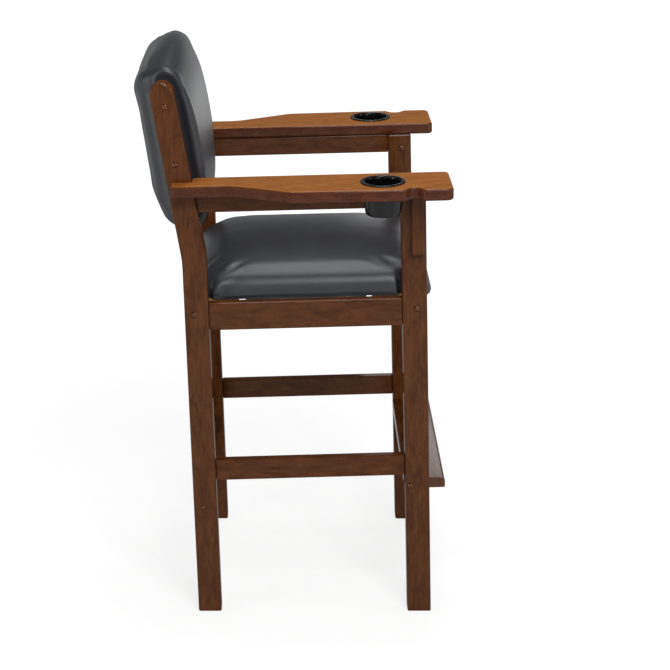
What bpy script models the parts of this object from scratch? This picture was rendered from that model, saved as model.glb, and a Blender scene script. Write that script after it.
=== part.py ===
# Bar-height spectator chair: two side frames of hardwood, bolted together by cross rails, a padded
# seat and back, wide arms with a cue notch and a drop-in cup holder each, and a footrest board.
# The chair is drawn square to its own frame: X across, Y from the front (minus) to the back, Z up.
# One empty then leans the whole chair back a little and stands its feet flat on the ground.

import math

import bmesh
import bpy
from mathutils import Matrix, Vector

# Fits
fit = 0.0003                      # gap left between pieces that touch
overrun = 0.012                   # how far a cutter passes the faces it opens
upholstery_gap = 0.0012           # gap between a cushion and the wood beside it

# Side frames
frame_lean = math.radians(1.867)
chair_width = 0.535               # over the outer faces of the legs
leg_thickness = 0.040
leg_ease = 0.0035                 # rounding of the legs' long edges
rear_leg_y = 0.238                # middle of the rear leg, front to back
rear_leg_depth = 0.052
front_leg_y = -0.240              # middle of the front leg at the foot
front_leg_depth = 0.0535
front_leg_rake = 0.0085           # run towards the back for each unit of height
rail_ease = 0.0025

# Raked back posts, the upper end of the rear legs
post_kink_z = 0.864
post_kink_drop = 0.011            # the rear edge bends a little lower than the front edge
post_kink_radius = 0.22
post_front_rake = 0.149
post_rear_rake = 0.142
post_top_z = 1.2388

# Seat frame
seat_rail_top_z = 0.7555
seat_rail_height = 0.0615
seat_rail_thickness = 0.025
seat_rail_inset = 0.004           # side rails lie this far inside the legs' outer faces
seat_front_rail_y = -0.2369
seat_rear_rail_y = 0.243
seat_bolt_drop = 0.023            # bolts below the rails' top

# Lower stretchers
stretcher_z = 0.36275
stretcher_height = 0.0485
stretcher_thickness = 0.022
stretcher_inset = 0.007
cross_stretcher_y = 0.2428
cross_stretcher_z = 0.2756
cross_stretcher_height = 0.048
cross_stretcher_thickness = 0.024

# Tenons of the side rails
tenon_length = 0.020
tenon_thickness = 0.010
tenon_shoulder = 0.008            # above and below the tenon

# Footrest
footrest_top_z = 0.3288
footrest_thickness = 0.025
footrest_front_y = -0.300
footrest_rear_y = -0.2085
footrest_end_inset = 0.0125       # the ends stop short of the legs' outer faces
footrest_nose_run = 0.016
footrest_nose_drop = 0.004
footrest_nose_radius = 0.007
footrest_edge_radius = 0.003
footrest_bolt_y = -0.2214

# Arms
arm_rail_top_z = 1.0005
arm_rail_height = 0.0435
arm_rail_thickness = 0.0245
arm_rail_inset = 0.010
arm_thickness = 0.026
arm_overhang = 0.0008              # the arm's inner edge stands this far inside the legs
arm_front_y = -0.3092
arm_front_reach = 0.104            # how far each part of the arm reaches outside the legs
arm_shoulder_reach = 0.099         # where the wide part begins
arm_shoulder_y = 0.028
arm_shoulder_radius = 0.036
arm_waist_reach = 0.0355           # the narrow rear part
arm_waist_y = 0.152
arm_waist_radius = 0.070
arm_tongue_rear_y = 0.280
arm_tongue_radius = 0.010
arm_corner_radius = 0.016
arm_inner_corner_radius = 0.012
arm_inner_end_radius = 0.011
arm_end_overlap = 0.002           # drawn this far into the post, then cut to the post's face
arm_ease = 0.004
leg_tenon_width = 0.022
leg_tenon_depth = 0.028
leg_tenon_height = 0.013

# Cue notch in the arm's outer edge
notch_y = -0.2275
notch_depth = 0.018
notch_half_mouth = 0.0205
notch_half_floor = 0.0075
notch_floor_radius = 0.0125
notch_lip_radius = 0.009

# Brackets under the arms
bracket_y = -0.2395
bracket_width = 0.0256
bracket_projection = 0.020
bracket_height = 0.1485
bracket_sweep = 0.0185
bracket_ease = 0.0015
bracket_screw_y = -0.2352
bracket_screw_drop = 0.0335

# Cup holders
cup_reach = 0.0345                # the cup's axis outside the legs
cup_y = -0.1655
cup_flange_radius = 0.048
cup_lip_height = 0.0026
cup_lip_ease = 0.0012
cup_top_radius = 0.042
cup_bottom_radius = 0.038
cup_depth = 0.070                 # below the arm's top
cup_wall = 0.0024
cup_floor_radius = 0.006
cup_bore_gap = 0.0008

# Seat cushion
seat_board_thickness = 0.012
seat_board_margin = 0.012         # wrap of foam and cover round the board's side edges
cushion_side_inset = 0.029        # the foot of its sides inside the legs' outer faces
cushion_side_swell = 0.0055
cushion_front_y = -0.2745
cushion_rear_y = 0.2535
cushion_lip_drop = 0.0135         # the front edge hangs over the front rail
cushion_side_height = 0.047
cushion_roll = 0.008
cushion_crown = 0.031
cushion_front_lean = 0.014

# Back cushion
pad_bottom_z = 0.913
pad_top_z = 1.264
pad_crest = 0.014                 # the top edge rises this much towards the middle
pad_front_depth = 0.0585          # from the line of the post bolts to the pad's front face
pad_rear_depth = 0.065
pad_front_swell = 0.007
pad_rear_swell = 0.012
pad_crest_slope = 0.032           # the crest drops this much towards the back
pad_heel_rise = 0.006             # the rear of the bottom edge lies higher than its front
pad_front_top_narrowing = 0.028
pad_rear_top_narrowing = 0.008
pad_front_bottom_narrowing = 0.030
pad_rear_bottom_narrowing = 0.014
pad_end_tuck = 0.030              # the rear face turns in to the posts at each end
core_thickness = 0.018
core_over_bolt = 0.033            # the board runs on above the upper bolts
core_under_bolt = 0.111           # and below the lower ones

# Hardware
bolt_radius = 0.003
bolt_length = 0.068
bolt_hole_gap = 0.0003
bolt_head_radius = 0.0063
bolt_head_height = 0.0034
bolt_socket_radius = 0.0023
bolt_socket_depth = 0.002
upper_back_bolt_z = 1.189
lower_back_bolt_z = 1.066
back_bolt_rake = 0.128
lower_back_bolt_y = 0.2683
nut_radius = 0.005
nut_length = 0.014
nut_from_rail_end = 0.018
bracket_screw_length = 0.053
block_screw_length = 0.030
block_leg = 0.066                 # how far a corner block runs along each rail
block_thickness = 0.022
block_screw_inset = 0.023

# Shares and counts
arc_step = math.radians(15)
cage_cuts = 5
cage_spread_share = 0.62
edge_power = 8
bolt_sides = 12
cup_sides = 28

# Derived places
outer_x = chair_width / 2
inner_x = outer_x - leg_thickness
arm_inner_x = inner_x - arm_overhang
arm_front_outer_x = outer_x + arm_front_reach
arm_shoulder_outer_x = outer_x + arm_shoulder_reach
arm_waist_outer_x = outer_x + arm_waist_reach
cup_x = outer_x + cup_reach
footrest_half_width = outer_x - footrest_end_inset
cushion_half_width = outer_x - cushion_side_inset
leg_middle_x = outer_x - leg_thickness / 2
rear_leg_front_y = rear_leg_y - rear_leg_depth / 2
rear_leg_rear_y = rear_leg_y + rear_leg_depth / 2
arm_bottom_z = arm_rail_top_z + fit
arm_top_z = arm_bottom_z + arm_thickness
footrest_middle_z = footrest_top_z - footrest_thickness / 2
seat_rail_bottom_z = seat_rail_top_z - seat_rail_height
seat_bolt_z = seat_rail_top_z - seat_bolt_drop
seat_board_bottom_z = seat_rail_top_z + fit
front_rail_face_y = seat_front_rail_y - seat_rail_thickness / 2
core_top_z = upper_back_bolt_z + core_over_bolt
core_bottom_z = lower_back_bolt_z - core_under_bolt
sides = {"right": -1, "left": 1}
seat_ends = {"front": -1, "rear": 1}


# Scene, materials and the parent empty

for old_object in list(bpy.data.objects):
    bpy.data.objects.remove(old_object, do_unlink=True)

chair = bpy.data.collections.new("spectator_chair")
cutters = bpy.data.collections.new("cutters")
bpy.context.scene.collection.children.link(chair)
bpy.context.scene.collection.children.link(cutters)

chair_lean = bpy.data.objects.new("chair_lean", None)
chair_lean.rotation_euler = (-frame_lean, 0, 0)
chair.objects.link(chair_lean)


def new_material(name, colour, roughness, metallic=0.0, coat=0.0):
    material = bpy.data.materials.new(name)
    material.use_nodes = True
    shader = material.node_tree.nodes["Principled BSDF"]
    shader.inputs["Base Color"].default_value = (*colour, 1)
    shader.inputs["Roughness"].default_value = roughness
    shader.inputs["Metallic"].default_value = metallic
    shader.inputs["Coat Weight"].default_value = coat
    material.diffuse_color = (*colour, 1)
    return material


stained_wood = new_material("stained_hardwood", (0.155, 0.052, 0.018), 0.32, coat=0.6)
arm_wood = new_material("stained_hardwood_arm", (0.30, 0.105, 0.028), 0.28, coat=0.7)
plywood = new_material("plywood", (0.46, 0.32, 0.18), 0.7)
vinyl = new_material("charcoal_vinyl", (0.045, 0.05, 0.058), 0.42)
black_plastic = new_material("black_plastic", (0.008, 0.008, 0.010), 0.18)
copper_steel = new_material("antique_copper_steel", (0.36, 0.15, 0.09), 0.3, metallic=1.0)
zinc_steel = new_material("zinc_plated_steel", (0.55, 0.55, 0.53), 0.35, metallic=1.0)


# Shared modelling steps

def place(name, mesh, collection, location=(0, 0, 0), rotation=(0, 0, 0)):
    item = bpy.data.objects.new(name, mesh)
    item.location = location
    item.rotation_euler = rotation
    item.parent = chair_lean
    collection.objects.link(item)
    return item


def finish(item, material, smooth_angle=math.radians(35)):
    item.data.materials.clear()
    item.data.materials.append(material)
    item.data.shade_smooth()
    item.data.set_sharp_from_angle(angle=smooth_angle)
    return item


def rounded(corners):
    # Each corner is (x, y, radius); a radius above zero becomes an arc tangent to both edges
    points = []
    for index, (x, y, radius) in enumerate(corners):
        corner = Vector((x, y))
        if radius <= 0:
            points.append(corner)
            continue
        before = Vector(corners[index - 1][:2]) - corner
        after = Vector(corners[(index + 1) % len(corners)][:2]) - corner
        before.normalize()
        after.normalize()
        opening = before.angle(after)
        bisector = (before + after).normalized()
        centre = corner + bisector * radius / math.sin(opening / 2)
        start = corner + before * radius / math.tan(opening / 2) - centre
        end = corner + after * radius / math.tan(opening / 2) - centre
        sweep = math.atan2(start.x * end.y - start.y * end.x, start.dot(end))
        steps = max(2, math.ceil(abs(sweep) / arc_step))
        for step in range(steps + 1):
            points.append(centre + Matrix.Rotation(sweep * step / steps, 2) @ start)
    return points


def outline_mesh(name, points, thickness):
    # A filled flat curve, extruded both ways and made a mesh with its caps joined on
    curve = bpy.data.curves.new(name, "CURVE")
    curve.dimensions = "2D"
    curve.fill_mode = "BOTH"
    curve.extrude = thickness / 2
    spline = curve.splines.new("POLY")
    spline.points.add(len(points) - 1)
    for spline_point, point in zip(spline.points, points):
        spline_point.co = (point[0], point[1], 0, 1)
    spline.use_cyclic_u = True
    source = bpy.data.objects.new(name, curve)
    bpy.context.scene.collection.objects.link(source)
    bpy.context.view_layer.update()
    evaluated = source.evaluated_get(bpy.context.evaluated_depsgraph_get())
    mesh = bpy.data.meshes.new_from_object(evaluated)
    bpy.data.objects.remove(source, do_unlink=True)
    bpy.data.curves.remove(curve)
    shape = bmesh.new()
    shape.from_mesh(mesh)
    bmesh.ops.remove_doubles(shape, verts=shape.verts, dist=fit / 10)
    bmesh.ops.dissolve_limit(
        shape, angle_limit=math.radians(0.5), verts=shape.verts, edges=shape.edges
    )
    bmesh.ops.recalc_face_normals(shape, faces=shape.faces)
    shape.to_mesh(mesh)
    shape.free()
    return mesh


turns = {
    "x": (math.pi / 2, 0, math.pi / 2),   # outline in Y and Z, thickness across the chair
    "y": (math.pi / 2, 0, 0),             # outline in X and Z, thickness front to back
    "z": (0, 0, 0),                       # outline in X and Y, thickness upwards
}
placed_along = {"x": Vector((1, 0, 0)), "y": Vector((0, 1, 0)), "z": Vector((0, 0, 1))}


def plank(name, corners, thickness, across, middle, collection=chair, ease=0.0):
    mesh = outline_mesh(name, rounded(corners), thickness)
    item = place(name, mesh, collection, placed_along[across] * middle, turns[across])
    if ease > 0:
        bevel = item.modifiers.new("eased edges", "BEVEL")
        bevel.width = ease
        bevel.segments = 2
        bevel.limit_method = "ANGLE"
        bevel.angle_limit = math.radians(40)
        bevel.use_clamp_overlap = False
    return item


def blocks(name, spans):
    # One cutter of several boxes that stand apart, each given by its lowest and highest corner
    mesh = bpy.data.meshes.new(name)
    shape = bmesh.new()
    for low, high in spans:
        cube = bmesh.ops.create_cube(shape, size=1)
        bmesh.ops.scale(shape, vec=Vector(high) - Vector(low), verts=cube["verts"])
        bmesh.ops.translate(shape, vec=(Vector(low) + Vector(high)) / 2, verts=cube["verts"])
    shape.to_mesh(mesh)
    shape.free()
    return place(name, mesh, cutters)


def block(name, low, high, collection=cutters, ease=0.0):
    low = Vector(low)
    high = Vector(high)
    mesh = bpy.data.meshes.new(name)
    shape = bmesh.new()
    bmesh.ops.create_cube(shape, size=1)
    bmesh.ops.scale(shape, vec=high - low, verts=shape.verts)
    shape.to_mesh(mesh)
    shape.free()
    item = place(name, mesh, collection, (low + high) / 2)
    if ease > 0:
        bevel = item.modifiers.new("eased edges", "BEVEL")
        bevel.width = ease
        bevel.segments = 2
    return item


def rod(name, radius, length, middle, along, sides_count=bolt_sides):
    mesh = bpy.data.meshes.new(name)
    shape = bmesh.new()
    bmesh.ops.create_cone(
        shape, cap_ends=True, segments=sides_count, radius1=radius, radius2=radius, depth=length
    )
    shape.to_mesh(mesh)
    shape.free()
    direction = placed_along[along].to_track_quat("Z", "Y").to_euler()
    return place(name, mesh, cutters, middle, direction)


def combine(item, tool, operation="DIFFERENCE"):
    tool.hide_render = True
    tool.display_type = "WIRE"
    boolean = item.modifiers.new(tool.name, "BOOLEAN")
    boolean.operation = operation
    boolean.object = tool
    boolean.solver = "EXACT"


def turned(name, profile, steps, collection, location, rotation, material):
    # The profile runs down the outer side at +X, from the axis at the top to the axis at the foot
    mesh = bpy.data.meshes.new(name)
    shape = bmesh.new()
    points = [shape.verts.new((radius, 0, height)) for radius, height in profile]
    for first, second in zip(points, points[1:]):
        shape.edges.new((first, second))
    shape.to_mesh(mesh)
    shape.free()
    item = place(name, mesh, collection, location, rotation)
    screw = item.modifiers.new("turned", "SCREW")
    screw.steps = steps
    screw.render_steps = steps
    screw.use_merge_vertices = True
    screw.merge_threshold = fit / 10
    finish(item, material)
    return item


# Outlines that more than one piece follows

def front_leg_face(z, towards):
    # Y of the front leg's front face (towards -1) or rear face (towards +1) at a height
    return front_leg_y + front_leg_rake * z + towards * front_leg_depth / 2


def ground_z(y):
    # The ground seen from the leaning frame, level with zero at the middle of the front foot
    return (y - front_leg_y) * math.tan(frame_lean)


def post_edge(z, towards):
    # Y of the raked post's front (towards -1) or rear edge (towards +1) at a height
    if towards < 0:
        return rear_leg_front_y + post_front_rake * max(0, z - post_kink_z)
    return rear_leg_rear_y + post_rear_rake * max(0, z - post_kink_z + post_kink_drop)


def rear_leg_corners(grow):
    # The rear leg with its raked post, as drawn or grown on every side. The head is fully round:
    # its two arcs have the radius at which they meet on the top.
    front_foot = rear_leg_front_y - grow
    rear_foot = rear_leg_rear_y + grow
    top = post_top_z + grow
    front_top = post_edge(top, -1) - grow
    rear_top = post_edge(top, 1) + grow
    front_half_angle = math.pi / 4 + math.atan(post_front_rake) / 2
    rear_half_angle = math.pi / 4 - math.atan(post_rear_rake) / 2
    arc_reaches = 1 / math.tan(front_half_angle) + 1 / math.tan(rear_half_angle)
    head = (rear_top - front_top) / arc_reaches
    return [
        (rear_foot, ground_z(rear_foot), 0),
        (rear_foot, post_kink_z - post_kink_drop, post_kink_radius),
        (rear_top, top, head),
        (front_top, top, head),
        (front_foot, post_kink_z, post_kink_radius),
        (front_foot, ground_z(front_foot), 0),
    ]


def back_bolt_y(z):
    return lower_back_bolt_y + back_bolt_rake * (z - lower_back_bolt_z)


# Tenons and mortises of the rails that join a rear leg to a front leg

def rail_span(low_z, high_z):
    rear = rear_leg_front_y - fit
    return [
        (front_leg_face(low_z, 1) + fit, low_z, 0),
        (rear, low_z, 0),
        (rear, high_z, 0),
        (front_leg_face(high_z, 1) + fit, high_z, 0),
    ]


def tenon_span(low_z, high_z, rear_reach, grow):
    middle_z = (low_z + high_z) / 2
    return (
        (front_leg_face(middle_z, 1) - tenon_length - grow, low_z + tenon_shoulder - grow),
        (rear_reach + tenon_length + grow, high_z - tenon_shoulder + grow),
    )


def side_rail(name, side, low_z, high_z, thickness, inset, rear_corners=None):
    middle = side * (outer_x - inset - thickness / 2)
    corners = rear_corners or rail_span(low_z, high_z)
    rear_reach = min(post_edge(low_z, -1), post_edge(high_z, -1))
    rail = plank(name, corners, thickness, "x", middle, ease=rail_ease)
    (front, low), (rear, high) = tenon_span(low_z, high_z, rear_reach, 0)
    half = tenon_thickness / 2
    tenon = block(name + "_tenons", (middle - half, front, low), (middle + half, rear, high))
    combine(rail, tenon, "UNION")
    (front, low), (rear, high) = tenon_span(low_z, high_z, rear_reach, fit)
    half = half + fit
    mortise = block(name + "_mortises", (middle - half, front, low), (middle + half, rear, high))
    mortise.hide_render = True
    mortise.display_type = "WIRE"
    finish(rail, stained_wood)
    return rail, mortise


# Side frames

def bolt_hole(name, side, y, z, depth):
    outer = side * (outer_x + overrun)
    inner = side * (outer_x - depth)
    length = abs(outer - inner)
    return rod(name, bolt_radius + bolt_hole_gap, length, ((outer + inner) / 2, y, z), "x")


def side_frame(side_name, side):
    rear_leg = plank(
        "rear_leg_" + side_name, rear_leg_corners(0), leg_thickness, "x",
        side * leg_middle_x, ease=leg_ease,
    )
    top_z = arm_rail_top_z
    front_leg = plank(
        "front_leg_" + side_name,
        [
            (front_leg_face(0, -1), ground_z(front_leg_face(0, -1)), 0),
            (front_leg_face(0, 1), ground_z(front_leg_face(0, 1)), 0),
            (front_leg_face(top_z, 1), top_z, 0),
            (front_leg_face(top_z, -1), top_z, 0),
        ],
        leg_thickness, "x", side * leg_middle_x, ease=leg_ease,
    )
    seat_rail, seat_mortise = side_rail(
        "seat_side_rail_" + side_name, side, seat_rail_bottom_z, seat_rail_top_z,
        seat_rail_thickness, seat_rail_inset,
    )
    stretcher, stretcher_mortise = side_rail(
        "side_stretcher_" + side_name, side, stretcher_z - stretcher_height / 2,
        stretcher_z + stretcher_height / 2, stretcher_thickness, stretcher_inset,
    )
    arm_low = arm_rail_top_z - arm_rail_height
    arm_rail_corners = [
        (front_leg_face(arm_low, 1) + fit, arm_low, 0),
        (post_edge(arm_low, -1) - fit, arm_low, 0),
        (post_edge(arm_rail_top_z, -1) - fit, arm_rail_top_z, 0),
        (front_leg_face(arm_rail_top_z, 1) + fit, arm_rail_top_z, 0),
    ]
    arm_rail, arm_mortise = side_rail(
        "arm_rail_" + side_name, side, arm_low, arm_rail_top_z,
        arm_rail_thickness, arm_rail_inset, arm_rail_corners,
    )
    for leg in (rear_leg, front_leg):
        for mortise in (seat_mortise, stretcher_mortise, arm_mortise):
            combine(leg, mortise)

    # Stub tenon on the front leg's head, glued into the arm
    tenon_y = (front_leg_face(top_z, -1) + front_leg_face(top_z, 1)) / 2
    half = Vector((leg_tenon_width / 2, leg_tenon_depth / 2, 0))
    foot = Vector((side * leg_middle_x, tenon_y, top_z - tenon_shoulder / 2))
    head = Vector((side * leg_middle_x, tenon_y, top_z + leg_tenon_height))
    stub = block("front_leg_stub_" + side_name, foot - half, head + half)
    combine(front_leg, stub, "UNION")
    around = Vector((fit, fit, fit))
    socket = block("front_leg_stub_socket_" + side_name, foot - half - around, head + half + around)
    return rear_leg, front_leg, socket


def arm(side_name, side, stub_socket):
    mouth_front = notch_y - notch_half_mouth
    mouth_rear = notch_y + notch_half_mouth
    floor_x = arm_front_outer_x - notch_depth
    inner_end_y = post_edge(arm_top_z, -1) + arm_end_overlap
    corners = [
        (arm_inner_x, arm_front_y, arm_inner_corner_radius),
        (arm_front_outer_x, arm_front_y, arm_corner_radius),
        (arm_front_outer_x, mouth_front, notch_lip_radius),
        (floor_x, notch_y - notch_half_floor, notch_floor_radius),
        (floor_x, notch_y + notch_half_floor, notch_floor_radius),
        (arm_front_outer_x, mouth_rear, notch_lip_radius),
        (arm_shoulder_outer_x, arm_shoulder_y, arm_shoulder_radius),
        (arm_waist_outer_x, arm_waist_y, arm_waist_radius),
        (arm_waist_outer_x, arm_tongue_rear_y, arm_tongue_radius),
        (leg_middle_x, arm_tongue_rear_y, 0),
        (leg_middle_x, inner_end_y, 0),
        (arm_inner_x, inner_end_y, arm_inner_end_radius),
    ]
    mirrored = [(side * x, y, radius) for x, y, radius in corners]
    middle_z = (arm_bottom_z + arm_top_z) / 2
    item = plank("arm_" + side_name, mirrored, arm_thickness, "z", middle_z, ease=arm_ease)

    # The inner half butts against the raked front face of the post
    post_space = plank(
        "post_space_" + side_name, rear_leg_corners(fit), leg_thickness + 2 * fit, "x",
        side * leg_middle_x, collection=cutters,
    )
    combine(item, post_space)
    bore = rod(
        "cup_bore_" + side_name, cup_top_radius + cup_bore_gap, arm_thickness + 2 * overrun,
        (side * cup_x, cup_y, middle_z), "z", cup_sides,
    )
    combine(item, bore)
    combine(item, stub_socket)
    finish(item, arm_wood)


def bracket(side_name, side):
    # Corbel on the leg's outer face: straight above, swept in to the leg at the foot
    face_x = outer_x + fit
    top_z = arm_rail_top_z
    bottom_z = top_z - bracket_height
    front_x = outer_x + bracket_projection
    corners = [
        (side * face_x, bottom_z, 0),
        (side * front_x, bottom_z, bracket_sweep),
        (side * front_x, top_z, 0),
        (side * face_x, top_z, 0),
    ]
    item = plank("arm_bracket_" + side_name, corners, bracket_width, "y", bracket_y, ease=bracket_ease)
    finish(item, stained_wood)
    return item


# Bolts, screws and barrel nuts

def bolt_profile(length):
    head_arc = [
        (bolt_head_radius * math.cos(angle), bolt_head_height * math.sin(angle))
        for angle in (math.radians(60), math.radians(30))
    ]
    return [
        (0, bolt_head_height),
        *head_arc,
        (bolt_head_radius, 0),
        (bolt_radius, 0),
        (bolt_radius, -length),
        (0, -length),
    ]


def fastener(name, seat, along, towards, length, material):
    # The head's flat underside is at the object's origin and the shank runs down its local Z
    direction = (placed_along[along] * towards).to_track_quat("Z", "Y").to_euler()
    item = turned(name, bolt_profile(length), bolt_sides, chair, seat, direction, material)
    mesh = bpy.data.meshes.new(name + "_socket")
    shape = bmesh.new()
    bmesh.ops.create_cone(
        shape, cap_ends=True, segments=6, radius1=bolt_socket_radius, radius2=bolt_socket_radius,
        depth=2 * bolt_socket_depth,
    )
    shape.to_mesh(mesh)
    shape.free()
    socket_middle = Vector(seat) + placed_along[along] * towards * bolt_head_height
    combine(item, place(name + "_socket", mesh, cutters, socket_middle, direction))
    return item


def barrel_nut(name, rail, side, y, z, along):
    # A cross dowel in the rail that the bolt screws into
    x = side * (inner_x - nut_from_rail_end)
    middle = (x, y, z)
    nut = rod(name, nut_radius, nut_length, middle, along)
    cutters.objects.unlink(nut)
    chair.objects.link(nut)
    combine(nut, rod(
        name + "_thread", bolt_radius + bolt_hole_gap, 2 * nut_radius + overrun, middle, "x"
    ))
    finish(nut, zinc_steel)
    # The nut is dropped in through a hole from the rail's hidden side
    hole_end = Vector(middle) + placed_along[along] * (nut_length / 2 + fit)
    hole_start = Vector(middle) - placed_along[along] * (nut_length / 2 + overrun * 4)
    hole = rod(
        name + "_hole", nut_radius + fit, (hole_end - hole_start).length,
        (hole_end + hole_start) / 2, along,
    )
    combine(rail, hole)


def bolt_set(rail, label, legs, y, z, nut_along):
    # One bolt at each end of a cross rail, with its hole through the leg and its barrel nut
    for side_name, side in sides.items():
        name = label + "_" + side_name
        depth = bolt_length + fit
        combine(legs[side_name], bolt_hole(name + "_leg_hole", side, y, z, depth))
        combine(rail, bolt_hole(name + "_rail_hole", side, y, z, depth))
        if nut_along:
            barrel_nut(name + "_nut", rail, side, y, z, nut_along)
        fastener(
            name + "_bolt", (side * (outer_x + fit), y, z), "x", side, bolt_length, copper_steel
        )


# Cross rails, footrest and the seat's understructure

def cross_rail(name, y, z, height, thickness):
    low = (-(inner_x - fit), y - thickness / 2, z - height / 2)
    high = (inner_x - fit, y + thickness / 2, z + height / 2)
    return finish(block(name, low, high, chair, rail_ease), stained_wood)


def footrest(front_legs):
    bottom_z = footrest_top_z - footrest_thickness
    board = plank(
        "footrest_board",
        [
            (footrest_rear_y, bottom_z, footrest_edge_radius),
            (footrest_rear_y, footrest_top_z, footrest_edge_radius),
            (footrest_front_y + footrest_nose_run, footrest_top_z, 0),
            (footrest_front_y, footrest_top_z - footrest_nose_drop, footrest_nose_radius),
            (footrest_front_y, bottom_z, footrest_edge_radius),
        ],
        2 * footrest_half_width, "x", 0, ease=footrest_edge_radius / 2,
    )
    # Notches for the front legs
    notch_front = front_leg_face(bottom_z, -1) - fit
    for side_name, side in sides.items():
        near = side * (inner_x - fit)
        far = side * (outer_x + overrun)
        notch = block(
            "footrest_notch_" + side_name,
            (min(near, far), notch_front, bottom_z - overrun),
            (max(near, far), footrest_rear_y + overrun, footrest_top_z + overrun),
        )
        combine(board, notch)
    finish(board, stained_wood)
    bolt_set(board, "footrest", front_legs, footrest_bolt_y, footrest_middle_z, "z")


def corner_block(end_name, end, side_name, side, seat_board):
    # Notched round the leg and screwed up into the seat board
    rail_x = outer_x - seat_rail_inset - seat_rail_thickness - fit
    leg_x = inner_x - fit
    middle_z = seat_rail_top_z - block_thickness / 2
    if end > 0:
        leg_y = rear_leg_front_y - fit
        rail_y = seat_rear_rail_y - seat_rail_thickness / 2 - fit
    else:
        leg_y = front_leg_face(seat_rail_top_z, 1) + fit
        rail_y = seat_front_rail_y + seat_rail_thickness / 2 + fit
    corners = [
        (side * rail_x, leg_y - end * block_leg, 0),
        (side * rail_x, leg_y, 0),
        (side * leg_x, leg_y, 0),
        (side * leg_x, rail_y, 0),
        (side * (leg_x - block_leg), rail_y, 0),
    ]
    name = end_name + "_corner_block_" + side_name
    item = plank(name, corners, block_thickness, "z", middle_z)
    x = side * (leg_x - block_screw_inset)
    y = leg_y - end * block_screw_inset / 2
    length = block_screw_length + overrun + fit
    base_z = seat_rail_top_z - block_thickness
    hole = rod(
        name + "_hole", bolt_radius + bolt_hole_gap, length, (x, y, base_z - overrun + length / 2), "z"
    )
    combine(item, hole)
    combine(seat_board, hole)
    finish(item, plywood)
    fastener(
        name.replace("block", "screw"), (x, y, base_z - fit), "z", -1, block_screw_length, zinc_steel
    )


# Upholstery

def puffed(name, form, tuck):
    # A cube whose faces are split evenly; the form moves each point to its place on the cushion
    mesh = bpy.data.meshes.new(name)
    shape = bmesh.new()
    bmesh.ops.create_cube(shape, size=2)
    bmesh.ops.subdivide_edges(shape, edges=shape.edges[:], cuts=cage_cuts, use_grid_fill=True)
    for vertex in shape.verts:
        spread = [
            math.copysign(abs(value) ** (cage_spread_share if index in tuck else 1), value)
            for index, value in enumerate(vertex.co)
        ]
        vertex.co = form(*spread)
    shape.to_mesh(mesh)
    shape.free()
    item = place(name, mesh, chair)
    subdivision = item.modifiers.new("soft form", "SUBSURF")
    subdivision.levels = 1
    subdivision.render_levels = 1
    return item


def seat_form(across, along, up):
    # Crowned top, sides that swell at mid height, and a front edge that leans back as it rises
    top = (1 + up) / 2
    roll = (1 - across ** edge_power) * (1 - along ** edge_power)
    crown = (1 - across ** 2) * (1 - along ** 2)
    height = cushion_lip_drop + cushion_side_height + cushion_roll * roll + cushion_crown * crown
    half_width = cushion_half_width + cushion_side_swell * (1 - up ** 2)
    half_length = (cushion_rear_y - cushion_front_y) / 2
    front = ((1 - along) / 2) ** 4
    y = cushion_front_y + half_length * (1 + along) + cushion_front_lean * front * top ** 1.5
    return across * half_width, y, seat_rail_top_z - cushion_lip_drop + height * top


def seat():
    board_half = inner_x - seat_board_margin
    board_front = front_rail_face_y + rail_ease
    board_rear = cushion_rear_y - seat_board_margin / 2
    low = Vector((-board_half, board_front, seat_board_bottom_z))
    high = Vector((board_half, board_rear, seat_board_bottom_z + seat_board_thickness))
    board = block("seat_board", low, high, chair)
    finish(board, plywood)
    cushion = puffed("seat_cushion", seat_form, (0, 1))
    # Flat underside over the rails, behind the lip that hangs over the front rail
    underside = block(
        "seat_cushion_underside",
        (-outer_x - overrun, front_rail_face_y - upholstery_gap, seat_rail_top_z - overrun * 3),
        (outer_x + overrun, cushion_rear_y + overrun, seat_rail_top_z + fit),
    )
    combine(cushion, underside)
    around = Vector((fit, fit, fit))
    below = Vector((0, 0, overrun))
    combine(cushion, block("seat_board_space", low - around - below, high + around))
    leg_spaces = []
    for side in sides.values():
        near = side * (inner_x - upholstery_gap)
        far = side * (outer_x + overrun)
        front_leg_rear_y = front_leg_face(seat_rail_top_z + cushion_side_height, 1)
        spans = [
            (rear_leg_front_y - upholstery_gap, cushion_rear_y + overrun),
            (cushion_front_y - overrun, front_leg_rear_y + upholstery_gap),
        ]
        for first_y, last_y in spans:
            low = (min(near, far), first_y, seat_rail_bottom_z)
            high = (max(near, far), last_y, seat_rail_top_z + 2 * cushion_side_height)
            leg_spaces.append((low, high))
    combine(cushion, blocks("seat_leg_spaces", leg_spaces))
    finish(cushion, vinyl, math.radians(60))
    return board


def pad_form(across, behind, up):
    # A raked pad between the posts: egg-shaped crest, fuller middle and a bottom edge that rises
    # towards the back
    top = (1 + up) / 2
    rise = pad_crest * (1 - across ** 2) * top ** 3
    heel = pad_heel_rise * (1 + behind) / 2 * (1 - top) ** 2
    slope = pad_crest_slope * ((1 + behind) / 2) ** 2 * top ** 4
    z = pad_bottom_z + (pad_top_z - pad_bottom_z) * top + rise + heel - slope
    belly = (1 - across ** 2) * (1 - up ** 4)
    foot = (1 - top) ** 6
    if behind > 0:
        reach = pad_rear_depth + pad_rear_swell * belly - pad_rear_bottom_narrowing * foot
        reach -= pad_rear_top_narrowing * top ** edge_power + pad_end_tuck * across ** edge_power
    else:
        reach = pad_front_depth + pad_front_swell * belly - pad_front_bottom_narrowing * foot
        reach -= pad_front_top_narrowing * top ** 4
    return across * (inner_x - upholstery_gap), back_bolt_y(z) + behind * reach, z


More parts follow.
